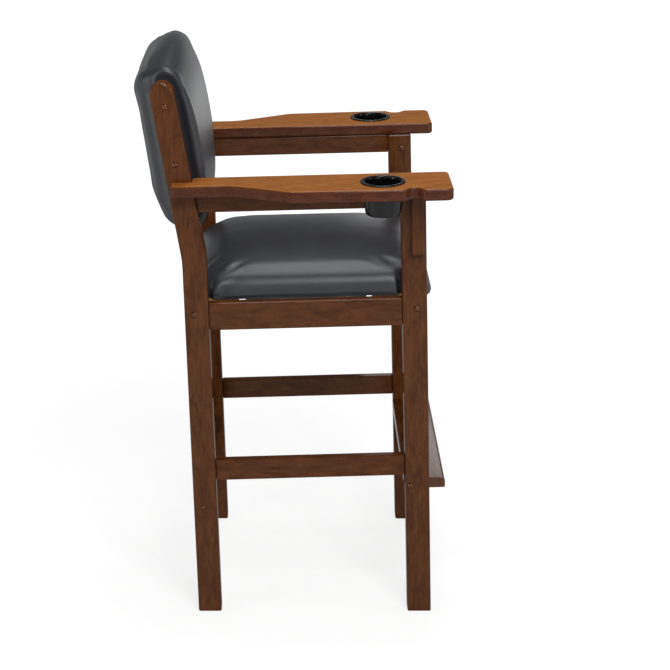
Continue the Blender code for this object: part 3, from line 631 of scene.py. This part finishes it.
# Seat cushion: crowned foam on a board, wider between the legs than beside them
seatLook = {
    "footHalf": 0.2407,
    "swell": 0.00405,  # the side stands out this much more at its widest
    "legHalf": 0.2262,  # beside the legs
    "legFront": -0.2050,  # rear face of the front legs, front face of the rear ones
    "legRear": 0.2105,
    "legEase": 0.006,
    "frontY": -0.2785,
    "rearY": 0.2530,
    "lowZ": 0.7560,
    "lipZ": 0.7424,  # the front hangs down this low, before the rail's face
    "railFaceY": -0.2508,
    "sideTopZ": 0.775,
    "roll": 0.040,
    "crown": 0.0283,
    "crownY": -0.010,  # middle of the crown, its half sizes and the power of its fall
    "crownHalfX": 0.215,
    "crownHalfY": 0.2635,
    "crownPower": 3.2,
    "rearDrop": 0.014,  # the top falls away at the rear: by how much, from where
    "rearDropY": 0.16,
    "rearDropReach": 0.095,
    "frontLean": 0.010,  # the front slants back up its wall, and more over the roll
    "frontLeanReach": 0.04,
    "topLean": 0.006,
    "topLeanInset": 0.03,
    "topLeanReach": 0.06,
    "squareness": 13,  # power of the outline in plan: 2 is an ellipse
    "around": 480,
    "underShares": (0.08, 0.97, 16),  # rings under the seat: first and last share, and how many
    "wallRings": 9,
    "rollRings": 10,
    "rollStart": 0.15,  # angle of the roll's first ring
    "topRings": 16,
    "topInset": 0.215,
    "easing": 12,
    "cap": 0.004,
    "slack": 0.001,
    "slackRise": 0.02,  # height over which the slack comes in
    "halfHeldZ": 0.768,  # below this the cover is held half, and then fully
    "heldZ": 0.762,
}
# Where the cover goes round the foot and is stapled under the board
footLook = {
    "sideRoom": 0.0012,  # the sides stay within this of the form
    "legRoom": 0.0001,
    "legReach": 0.004,
    "squareX": 0.010,  # the foot is squared this far in and this far up
    "squareBlendX": 0.006,
    "squareZ": 0.008,
    "squareBlendZ": 0.005,
    "hang": 0.0035,  # turned under, it hangs a little inside the rails
    "hangOuterX": 0.2376,
    "hangInnerX": 0.212,
    "hangOuterBlend": 0.003,
    "hangInnerBlend": 0.006,
    "hangHalfY": 0.1325,  # clear of the corner blocks
    "hangBlendY": 0.002,
    "hangRise": 0.003,
    "frontRoom": 0.0006,
    "rearRoom": 0.0004,
}
# Soft folds fan out from the rear lower corner of each side, where the cover is drawn down
foldLook = {
    "depth": 0.0022,
    "innerX": 0.215,  # only on the sides, below the top
    "blendX": 0.015,
    "topZ": 0.825,
    "blendZ": 0.03,
    "below": 0.004,  # the fan's centre lies this far under the foot
    "nearestY": 1e-4,
    "crowding": 6.4,  # how closely the folds follow each other, and where they start
    "start": 0.6,
    "deepest": 0.035,  # distance from the corner at which they are deepest, and fade
    "fade": 0.045,
}


def seatHalfWidth(y, z, inset=0):
    # Half width: full between the legs, eased in beside them, and swelling at mid height. The easing
    # fades out over the rolled edge, so the top stays even.
    look = seatLook
    beside = 1 - smooth((y - look["legFront"]) / look["legEase"]) * smooth(
        (look["legRear"] - y) / look["legEase"]
    )
    up = np.clip((z - look["lowZ"]) / (look["sideTopZ"] - look["lowZ"]) / 2, 0, 1)
    wide = look["footHalf"] + look["swell"] * 4 * up * (1 - up)
    return wide + (look["legHalf"] - wide) * beside * (1 - smooth(inset / look["roll"]))


def seatTop(x, y, edge):
    # Height of the top: the rolled edge, plus a crown that falls away to all four sides
    look = seatLook
    rolled = np.sqrt(look["roll"] ** 2 - (look["roll"] - np.clip(edge, 0, look["roll"])) ** 2)
    across = np.clip(1 - (x / look["crownHalfX"]) ** 2, 0, 1)
    along = np.abs((y - look["crownY"]) / look["crownHalfY"]) ** look["crownPower"]
    crown = look["crown"] * across * np.clip(1 - along, 0, 1)
    rear = smooth((y - look["rearDropY"]) / look["rearDropReach"])
    return look["sideTopZ"] + rolled + crown - look["rearDrop"] * rear


def seatSurface():
    # Rings in plan are a rectangle with round corners, shrunk towards the middle under the seat and
    # on its top. Heights follow the side wall, then seatTop.
    look = seatLook
    middleY = (look["frontY"] + look["rearY"]) / 2
    halfY = (look["rearY"] - look["frontY"]) / 2
    angle = np.linspace(0, 2 * math.pi, look["around"], endpoint=False)
    power = 2 / look["squareness"]
    across = np.sign(np.cos(angle)) * np.abs(np.cos(angle)) ** power
    along = np.sign(np.sin(angle)) * np.abs(np.sin(angle)) ** power
    rings = []
    for share in np.linspace(*look["underShares"]):
        y = middleY + halfY * along * share
        low = np.where(y < look["railFaceY"], look["lipZ"], look["lowZ"])
        rings.append(np.stack((across * share * seatHalfWidth(y, low), y, low), 1))
    y = middleY + halfY * along
    low = np.where(y < look["railFaceY"], look["lipZ"], look["lowZ"])
    front = smooth((look["frontY"] + look["frontLeanReach"] - y) / look["frontLeanReach"])
    for share in np.linspace(0, 1, look["wallRings"]):
        z = low + (look["sideTopZ"] - low) * share
        lean = look["frontLean"] * share * front
        rings.append(np.stack((across * seatHalfWidth(y, z), y + lean, z), 1))
    rollAngle = np.linspace(look["rollStart"], math.pi / 2, look["rollRings"])
    insets = np.concatenate((
        look["roll"] * (1 - np.cos(rollAngle)),
        np.linspace(look["roll"], look["topInset"], look["topRings"]),
    ))
    for inset in insets:
        y = middleY + (halfY - inset) * along
        lean = look["frontLean"] + look["topLean"] * min(inset / look["topLeanInset"], 1)
        y = y + lean * smooth((look["frontY"] + look["topLeanReach"] - y) / look["topLeanReach"])
        x = across * seatHalfWidth(y, look["sideTopZ"], inset) * (1 - inset / look["legHalf"])
        rings.append(np.stack((x, y, seatTop(x, y, inset)), 1))
    poles = [(0, middleY, look["lowZ"]), (0, middleY, float(seatTop(0.0, middleY, 1.0)))]
    return np.array(rings), poles


def cornerFolds(points):
    # A cosine round the fan's centre, deepest at one distance and fading by a bell curve
    look = foldLook
    x, y, z = points.T
    side = smooth((np.abs(x) - look["innerX"]) / look["blendX"])
    side = side * smooth((look["topZ"] - z) / look["blendZ"])
    reachY, reachZ = seatLook["legRear"] - y, z - seatLook["lowZ"] + look["below"]
    away = np.hypot(reachY, reachZ)
    angle = np.arctan2(reachZ, np.maximum(reachY, look["nearestY"]))
    bell = np.exp(-((away - look["deepest"]) / look["fade"]) ** 2)
    fold = np.cos(angle * look["crowding"] - look["start"]) * bell
    return look["depth"] * fold * side * (reachY > 0)


def squaredFoot(points):
    # The sides stay clear of the legs, their lower edge is square, and the cover hangs inside the rails
    look, form = footLook, seatLook
    x, y, z = points.T
    limit = seatHalfWidth(y, z) + look["sideRoom"]
    beside = (y < form["legFront"] + look["legReach"]) | (y > form["legRear"] - look["legReach"])
    limit = np.where(beside, form["legHalf"] + look["legRoom"], limit)
    x = np.clip(x, -limit, limit)
    foot = np.where(beside, form["legHalf"], form["footHalf"])
    outward = smooth((np.abs(x) - foot + look["squareX"]) / look["squareBlendX"])
    downward = smooth((form["lowZ"] + look["squareZ"] - z) / look["squareBlendZ"])
    x = x + np.sign(x) * (foot - np.abs(x)) * outward * downward
    z = np.maximum(z, np.where(y < form["railFaceY"], form["lipZ"], form["lowZ"]))
    wide = np.abs(x)
    under = smooth((look["hangOuterX"] - wide) / look["hangOuterBlend"])
    under *= smooth((wide - look["hangInnerX"]) / look["hangInnerBlend"])
    under *= smooth((look["hangHalfY"] - np.abs(y)) / look["hangBlendY"])
    z = z - look["hang"] * under * (z < form["lowZ"] + look["hangRise"])
    y = np.clip(y, form["frontY"] - look["frontRoom"], form["rearY"] + look["rearRoom"])
    return np.stack((x, y, z), 1)


def makeSeat():
    look = seatLook
    rings, poles = seatSurface()
    seat = ringSurface("seat_pad", rings, poles)
    drawnIn(
        seat, look["slack"],
        lambda points: smooth((points[:, 2:] - look["lowZ"]) / look["slackRise"]),
    )

    def held(points):
        weights = np.zeros(len(points))
        weights[points[:, 2] < look["halfHeldZ"]] = 0.5
        weights[points[:, 2] < look["heldZ"]] = 1.0
        return weights

    stuffed(seat, look, held)
    points = pointsOf(seat)
    points[:, 0] += np.sign(points[:, 0]) * cornerFolds(points)
    setPoints(seat, squaredFoot(points))
    setFinish(seat, seatVinyl)
    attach(seat, "frame")
    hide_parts("seat_cushion")


makePad()
makeSeat()
print("stage: back pad and seat cushion")


# Cup holders: one smooth turned wall, drawn at each angle from the same profile
cupLook = {"x": 0.302, "y": -0.1655, "topZ": 1.0268, "sides": 96, "floor": -0.0676, "under": -0.0700}
cupProfile = [
    (0.0290, -0.0676), (0.0315, -0.0674), (0.0336, -0.0660), (0.0350, -0.0640), (0.0356, -0.0612),
    (0.0364, -0.0480), (0.0376, -0.0260), (0.0388, -0.0050), (0.0394, 0.0006), (0.0399, 0.0018),
    (0.0410, 0.0025), (0.0424, 0.0026), (0.0452, 0.0026), (0.0468, 0.0025), (0.0476, 0.0021),
    (0.0480, 0.0013), (0.0479, 0.0005), (0.0474, 0.0003), (0.0426, 0.0003), (0.0421, -0.0004),
    (0.0420, -0.0100), (0.0418, -0.0260), (0.0400, -0.0440), (0.0384, -0.0610), (0.0380, -0.0640),
    (0.0367, -0.0673), (0.0345, -0.0692), (0.0320, -0.0700),
]


def turnedPiece(name, profile, sides, centre, poles):
    # Turned on a lathe: radius and height of the profile at every angle
    angle = np.linspace(0, 2 * math.pi, sides, endpoint=False)
    profile = np.array(profile)
    rings = np.stack((
        centre[0] + profile[:, :1] * np.cos(angle),
        centre[1] + profile[:, :1] * np.sin(angle),
        centre[2] + np.repeat(profile[:, 1:], sides, 1),
    ), -1)
    ends = [(centre[0], centre[1], centre[2] + height) for height in poles]
    return ringSurface(name, rings, ends, inward=True)


for sideName, side in (("left", 1), ("right", -1)):
    cup = turnedPiece(
        "cup_" + sideName, cupProfile, cupLook["sides"],
        (side * cupLook["x"], cupLook["y"], cupLook["topZ"]), (cupLook["floor"], cupLook["under"]),
    )
    setFinish(cup, cupPlastic)
    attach(cup, "cup_" + sideName)
    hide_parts("cup_holder_" + sideName)
print("stage: cup holders")


# Arms: solid planks with eased edges, a cue notch and a bore for the cup. Corners give X, Y and the
# radius. Two without a radius, level with the cup, mark where the faces round the bore meet, and the
# edges along the raked post stay crisp.
armLook = {
    "lowZ": 1.0008,
    "topZ": 1.0268,
    "ease": 0.0046,
    "crispEase": 0.0005,
    "easeSteps": 7,
    "rimShare": 1.12,  # the flat rim's inner edge, in eased edges' widths
    "arcStep": math.radians(5),
    "nearlyStraight": 0.2,  # sine of the turn below which two edges count as one line
    "boreRadius": 0.0428,
    "boreSides": 96,
    "postRake": 0.149,  # the post's front face runs back this much as it rises
    "sharpAngle": math.radians(40),
}
armCorners = [
    (0.2267, -0.3092, 0.012), (0.3715, -0.3092, 0.016), (0.3715, -0.2480, 0.009),
    (0.3535, -0.2350, 0.0125), (0.3535, -0.2200, 0.0125), (0.3715, -0.2070, 0.009),
    (0.3706, -0.1655, 0.0), (0.3665, 0.0280, 0.036), (0.3030, 0.1520, 0.070),
    (0.3030, 0.2800, 0.010), (0.2678, 0.2800, 0.0015), (0.2678, 0.2321, 0.0),
    (0.2267, 0.2321, 0.011), (0.2267, -0.1655, 0.0),
]
besidePost, innerEnd = (10, 11), (11, 12)    # corners whose edges stay crisp, and that follow the rake


def roundedOutline(corners, arcStep):
    # Each corner becomes an arc tangent to both edges, at equal angles. Also gives each point's corner.
    points, owners = [], []
    for index, (x, y, radius) in enumerate(corners):
        corner = np.array((x, y))
        if radius <= 0:
            points.append(corner)
            owners.append(index)
            continue
        before = np.array(corners[index - 1][:2]) - corner
        after = np.array(corners[(index + 1) % len(corners)][:2]) - corner
        before, after = before / np.linalg.norm(before), after / np.linalg.norm(after)
        half = math.acos(float(np.clip(before @ after, -1, 1))) / 2
        toMiddle = (before + after) / np.linalg.norm(before + after)
        centre = corner + toMiddle * radius / math.sin(half)
        start = corner + before * radius / math.tan(half) - centre
        end = corner + after * radius / math.tan(half) - centre
        sweep = math.atan2(start[0] * end[1] - start[1] * end[0], float(start @ end))
        steps = max(2, math.ceil(abs(sweep) / arcStep))
        for angle in np.linspace(0, sweep, steps + 1):
            turn = np.array(((math.cos(angle), -math.sin(angle)), (math.sin(angle), math.cos(angle))))
            points.append(centre + turn @ start)
            owners.append(index)
    return np.array(points), np.array(owners)


def insetOutline(points, distances):
    # Every edge moves in by its own distance; a point goes to where its two moved edges meet
    edges = np.roll(points, -1, 0) - points
    edges /= np.linalg.norm(edges, axis=1, keepdims=True)
    normal = np.stack((-edges[:, 1], edges[:, 0]), 1)
    first, second = np.roll(normal, 1, 0), normal
    d1, d2 = np.roll(distances, 1), distances
    cross = first[:, 0] * second[:, 1] - first[:, 1] * second[:, 0]
    oneLine = np.abs(cross) < armLook["nearlyStraight"]
    safe = np.where(oneLine, 1, cross)
    met = np.stack((
        (d1 * second[:, 1] - d2 * first[:, 1]) / safe, (first[:, 0] * d2 - second[:, 0] * d1) / safe
    ), 1)
    middle = first + second
    middle /= np.linalg.norm(middle, axis=1, keepdims=True)
    straight = middle * ((d1 + d2) / 2 / np.sum(middle * second, 1))[:, None]
    return points + np.where(oneLine[:, None], straight, met)


def makeArm(sideName, side):
    # The outline is carried up the arm's thickness, moved in along a quarter circle at both edges.
    # A flat rim closes on to two faces per side, which meet round the bore.
    look = armLook
    outline, owners = roundedOutline(armCorners, look["arcStep"])
    count = len(outline)
    size = np.where(np.isin(owners, besidePost), look["crispEase"], look["ease"])
    angle = np.linspace(0, math.pi / 2, look["easeSteps"])
    rise = np.concatenate(([look["rimShare"]], 1 - np.sin(angle)))
    shareIn = np.concatenate((rise, [0.0], rise[::-1]))
    shareUp = np.concatenate(([0.0], 1 - np.cos(angle)))
    heights = [look["lowZ"] + share * look["ease"] for share in shareUp]
    heights += [(look["lowZ"] + look["topZ"]) / 2]
    heights += [look["topZ"] - share * look["ease"] for share in shareUp[::-1]]
    rows = []
    for share, z in zip(shareIn, heights):
        ring = insetOutline(outline, size * share)
        rakeShift = look["postRake"] * (z - look["lowZ"])
        ring[:, 1] += np.where(np.isin(owners, innerEnd), rakeShift, 0)
        rows.append(np.column_stack((side * ring[:, 0], ring[:, 1], np.full(count, z))))
    rows = np.array(rows)
    turn = np.linspace(0, 2 * math.pi, look["boreSides"], endpoint=False)
    boreX = side * (cupLook["x"] + look["boreRadius"] * np.cos(turn))
    boreY = cupLook["y"] + look["boreRadius"] * np.sin(turn)
    boreEnds = (look["lowZ"], look["topZ"])
    bores = [np.column_stack((boreX, boreY, np.full(len(turn), z))) for z in boreEnds]
    points = np.vstack((rows.reshape(-1, 3), *bores))
    base, sides = len(rows) * count, look["boreSides"]
    faces = quadsBetween(len(rows), count).tolist()
    boreFaces = quadsBetween(2, sides, base)
    faces += boreFaces[:, (1, 0, 3, 2)].tolist()
    halfTurn = sides // 2
    for level, offset in ((0, base), (len(rows) - 1, base + sides)):
        rim = level * count + np.arange(count)
        ends = points[[offset, offset + halfTurn], :2]
        first, second = [int(np.argmin(np.linalg.norm(points[rim, :2] - end, axis=1))) for end in ends]
        for rimStart, rimEnd, boreStart in ((first, second, 0), (second, first, halfTurn)):
            outer = [rim[(rimStart + step) % count] for step in range((rimEnd - rimStart) % count + 1)]
            inner = [offset + (boreStart + step) % sides for step in range(halfTurn + 1)]
            face = [int(v) for v in outer + inner[::-1]]
            faces.append(face if level else face[::-1])
    if side < 0:
        faces = [face[::-1] for face in faces]
    piece = addPiece("arm_plank_" + sideName, points, faces)
    piece.data.set_sharp_from_angle(angle=look["sharpAngle"])
    setFinish(piece, armWoodPaintedLight)
    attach(piece, "frame")
    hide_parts("arm_" + sideName)


for sideName, side in (("left", 1), ("right", -1)):
    makeArm(sideName, side)
print("stage: arms")


# Button-head bolts and screws: domed head with a hexagon socket, drawn with the shank as one turning
boltLook = {
    "head": 0.0063,
    "height": 0.0034,
    "shank": 0.003,
    "socket": 0.0024,
    "socketDepth": 0.0021,
    "sides": 48,
    "mouth": 1.25,  # the dome ends this many socket sizes from the middle
    "domeSteps": 9,
    "domePower": 0.8,  # below 1, a flatter top
    "brimShare": 0.18,  # height of the dome's edge, of the head's height
    "brim": 0.00008,
    "underHead": 0.97,  # share of the head's radius that lies on the wood
    "neck": 0.0004,
    "tip": 0.0006,
    "tipShare": 0.8,
    "fine": 0.0001,  # height of the small steps that keep the socket's edges crisp
    "floorShare": 0.5,
    "footShare": 0.97,
    "mouthMix": (0.4, 0.66),  # the socket's mouth is part hexagon, part round
    "sharpAngle": math.radians(50),
}
outerFace, innerFace, seatGap = 0.2675, 0.2275, 0.0003
boltPlaces = {
    "upper_back_{}_bolt": (0.2840, 1.1890, 0.068, 1), "lower_back_{}_bolt": (0.2683, 1.0660, 0.068, 1),
    "seat_front_{}_bolt": (-0.2369, 0.7325, 0.068, 1), "seat_rear_{}_bolt": (0.2430, 0.7325, 0.068, 1),
    "lower_rear_{}_bolt": (0.2428, 0.2756, 0.068, 1), "footrest_{}_bolt": (-0.2214, 0.3163, 0.068, 1),
    "bracket_screw_{}": (-0.2352, 0.9670, 0.053, -1),
}


def makeBolt(nodeName, y, z, length, side, outward):
    # Head's dome by a quarter of an ellipse, in to the socket's rim; inside the socket the radius is
    # that of a hexagon: flat / cos(angle from the middle of the nearest flat)
    look = boltLook
    turn = np.linspace(0, 2 * math.pi, look["sides"], endpoint=False)
    hexagon = 1 / np.cos((turn + math.pi / 6) % (math.pi / 3) - math.pi / 6)
    head, shank, top, fine = look["head"], look["shank"], look["height"], look["fine"]
    floor = top - look["socketDepth"]
    hexMix, roundMix = look["mouthMix"]
    flats = look["socket"] * hexagon
    mouth = look["socket"] * look["mouth"]
    dome = np.linspace(0, math.pi / 2, look["domeSteps"])
    radii = mouth + (head - mouth) * np.sin(dome)
    heights = top * (look["brimShare"] + (1 - look["brimShare"]) * np.cos(dome) ** look["domePower"])
    rows = [
        (flats * look["floorShare"], floor - fine), (flats * look["footShare"], floor),
        (flats, floor + fine), (flats, top - 2 * fine),
        (look["socket"] * (hexagon * hexMix + roundMix), top), *zip(radii, heights),
        (head, look["brim"]), (head * look["underHead"], 0), (shank, 0), (shank, -look["neck"]),
        (shank, look["tip"] - length), (shank * look["tipShare"], -length),
    ]
    sign = side * outward
    x0 = side * (outerFace if outward > 0 else innerFace) + sign * seatGap
    rings = np.array([
        np.column_stack((np.full_like(turn, x0 + sign * h), y + r * np.cos(turn), z + r * np.sin(turn)))
        for r, h in rows
    ])
    ends = [(x0 + sign * (floor - fine), y, z), (x0 - sign * length, y, z)]
    bolt = ringSurface(nodeName + "_head", rings, ends, inward=sign > 0)
    bolt.data.set_sharp_from_angle(angle=look["sharpAngle"])
    return bolt


for pattern, (y, z, length, outward) in boltPlaces.items():
    for sideName, side in (("left", 1), ("right", -1)):
        nodeName = pattern.format(sideName)
        bolt = makeBolt(nodeName, y, z, length, side, outward)
        setFinish(bolt, copperPlate)
        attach(bolt, "frame")
        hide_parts(nodeName)
print("stage: bolts and screws")


# Camera, solved from the straight rails and legs in the photograph

cameraLook = {"lens": 99.345, "sensor": 36.0}
cameraPlace = Matrix((
    (-0.02619, 0.33409, -0.94218, -4.0456),
    (-0.99957, 0.00392, 0.02917, 0.02716),
    (0.01344, 0.94253, 0.33384, 2.01026),
    (0, 0, 0, 1),
))
cameraData = bpy.data.cameras.new("viewCamera")
cameraData.lens = cameraLook["lens"]
cameraData.sensor_width = cameraLook["sensor"]
viewCamera = bpy.data.objects.new("viewCamera", cameraData)
bpy.context.scene.collection.objects.link(viewCamera)
viewCamera.matrix_world = cameraPlace
bpy.context.scene.camera = viewCamera

# Studio: one soft box overhead and one high on the camera's side, three upright strips that draw the
# bright lines on the lacquer, and a small low panel on the far side that the footrest's coat mirrors.
# The room has a paper floor, a pale wall at eye level and a dim ceiling.
lampLooks = {
    "overhead": {"at": (0.35, 0.0, 3.3), "aim": (-0.05, 0, 0.82), "size": (0.9, 1.5), "power": 23},
    "nearTop": {"at": (-2.9, -0.7, 3.5), "aim": (0, 0, 0.6), "size": (1.6, 1.6), "power": 64},
    "besideCamera": {"at": (-3.0, -1.6, 1.0), "aim": (0, 0, 0.8), "size": (0.08, 1.6), "power": 9},
    "behind": {"at": (-1.5, 2.6, 0.9), "aim": (0, 0, 0.8), "size": (0.12, 1.8), "power": 13},
    "before": {"at": (-0.8, -3.0, 0.9), "aim": (0, 0, 0.8), "size": (0.07, 1.6), "power": 6},
    "lowFar": {"at": (1.5, -0.5, 0.95), "aim": (0, -0.28, 0.33), "size": (0.6, 0.34), "power": 1.0},
}
for lampName, look in lampLooks.items():
    lampData = bpy.data.lights.new(lampName, "AREA")
    lampData.shape = "RECTANGLE"
    lampData.size, lampData.size_y = look["size"]
    lampData.energy = look["power"]
    lamp = bpy.data.objects.new(lampName, lampData)
    bpy.context.scene.collection.objects.link(lamp)
    away = Vector(look["at"]) - Vector(look["aim"])
    lamp.location = look["at"]
    lamp.rotation_euler = away.to_track_quat("Z", "Y").to_euler()

roomLook = {
    "ambient": 0.22,
    "wall": 0.7,  # what gloss sees at eye level, and overhead
    "ceiling": 0.12,
    "wallTop": 0.02,  # rise of the sight line where the wall starts to fade, and ends
    "wallEnd": 0.16,
    "paper": 0.42,
    "floorNear": 0.76,
    "floorFar": 1.0,
    "floorGloss": 0.35,  # share of the paper's lift that gloss sees
    "nearReach": 0.9,
    "farReach": 2.6,
}
world = bpy.data.worlds.new("paleStudio")
bpy.context.scene.world = world
world.use_nodes = True
worldTree = world.node_tree
worldTree.nodes.clear()
ray = addNode(worldTree, "ShaderNodeLightPath")
shown = addMath(worldTree, "MAXIMUM", {0: (ray, "Is Camera Ray"), 1: (ray, "Is Transmission Ray")})
skyPlace = addNode(worldTree, "ShaderNodeTexCoord")
skyRise = addNode(worldTree, "ShaderNodeSeparateXYZ", {}, {"Vector": (skyPlace, "Generated")})
mirrored = addNode(
    worldTree, "ShaderNodeMapRange",
    {
        "interpolation_type": "SMOOTHSTEP", "From Min": roomLook["wallTop"],
        "From Max": roomLook["wallEnd"], "To Min": roomLook["wall"], "To Max": roomLook["ceiling"],
    },
    {"Value": (skyRise, "Z")},
)
glossy = addMath(worldTree, "MULTIPLY", {0: (ray, "Is Glossy Ray"), 1: (mirrored, "Result")})
lit = addMath(worldTree, "MAXIMUM", {0: (shown, 0), 1: (glossy, 0)})
diffuse = addMath(worldTree, "MULTIPLY", {0: (ray, "Is Diffuse Ray")}, {1: roomLook["ambient"]})
strength = addMath(worldTree, "MAXIMUM", {0: (lit, 0), 1: (diffuse, 0)})
background = addNode(
    worldTree, "ShaderNodeBackground", {"Color": (1, 1, 1, 1)}, {"Strength": (strength, 0)}
)
addNode(worldTree, "ShaderNodeOutputWorld", {}, {"Surface": (background, "Background")})

# Floor: white paper that keeps a soft shadow
floorMesh = bpy.data.meshes.new("paperFloor")
floorReach = 9.0
floorMesh.from_pydata(
    [(-floorReach, -floorReach, 0), (floorReach, -floorReach, 0),
     (floorReach, floorReach, 0), (-floorReach, floorReach, 0)],
    [], [(0, 1, 2, 3)],
)
paperFloor = bpy.data.objects.new("paperFloor", floorMesh)
bpy.context.scene.collection.objects.link(paperFloor)
floorMaterial, floorTree, floorOutput, floorPlace = startMaterial("white backdrop paper")
floorRay = addNode(floorTree, "ShaderNodeLightPath")
paper = addNode(floorTree, "ShaderNodeBsdfDiffuse", {"Color": (*[roomLook["paper"]] * 3, 1)})
fromChair = addNode(
    floorTree, "ShaderNodeVectorMath", {"operation": "LENGTH"}, {0: (floorPlace, "Object")}
)
spread = addNode(
    floorTree, "ShaderNodeMapRange",
    {
        "interpolation_type": "SMOOTHSTEP",
        "From Min": roomLook["nearReach"], "From Max": roomLook["farReach"],
        "To Min": roomLook["floorNear"], "To Max": roomLook["floorFar"],
    },
    {"Value": (fromChair, "Value")},
)
floorSeen = addMath(
    floorTree, "MULTIPLY_ADD", {0: (floorRay, "Is Glossy Ray"), 2: (floorRay, "Is Camera Ray")},
    {1: roomLook["floorGloss"]},
)
lift = addMath(floorTree, "MULTIPLY", {0: (floorSeen, 0), 1: (spread, "Result")})
glow = addNode(floorTree, "ShaderNodeEmission", {"Color": (1, 1, 1, 1)}, {"Strength": (lift, 0)})
both = addNode(floorTree, "ShaderNodeAddShader", {}, {0: (paper, "BSDF"), 1: (glow, "Emission")})
floorTree.links.new(both.outputs[0], floorOutput.inputs["Surface"])
floorMesh.materials.append(floorMaterial)

bpy.context.scene.view_settings.view_transform = "Standard"
print("stage: camera, lamps and floor")
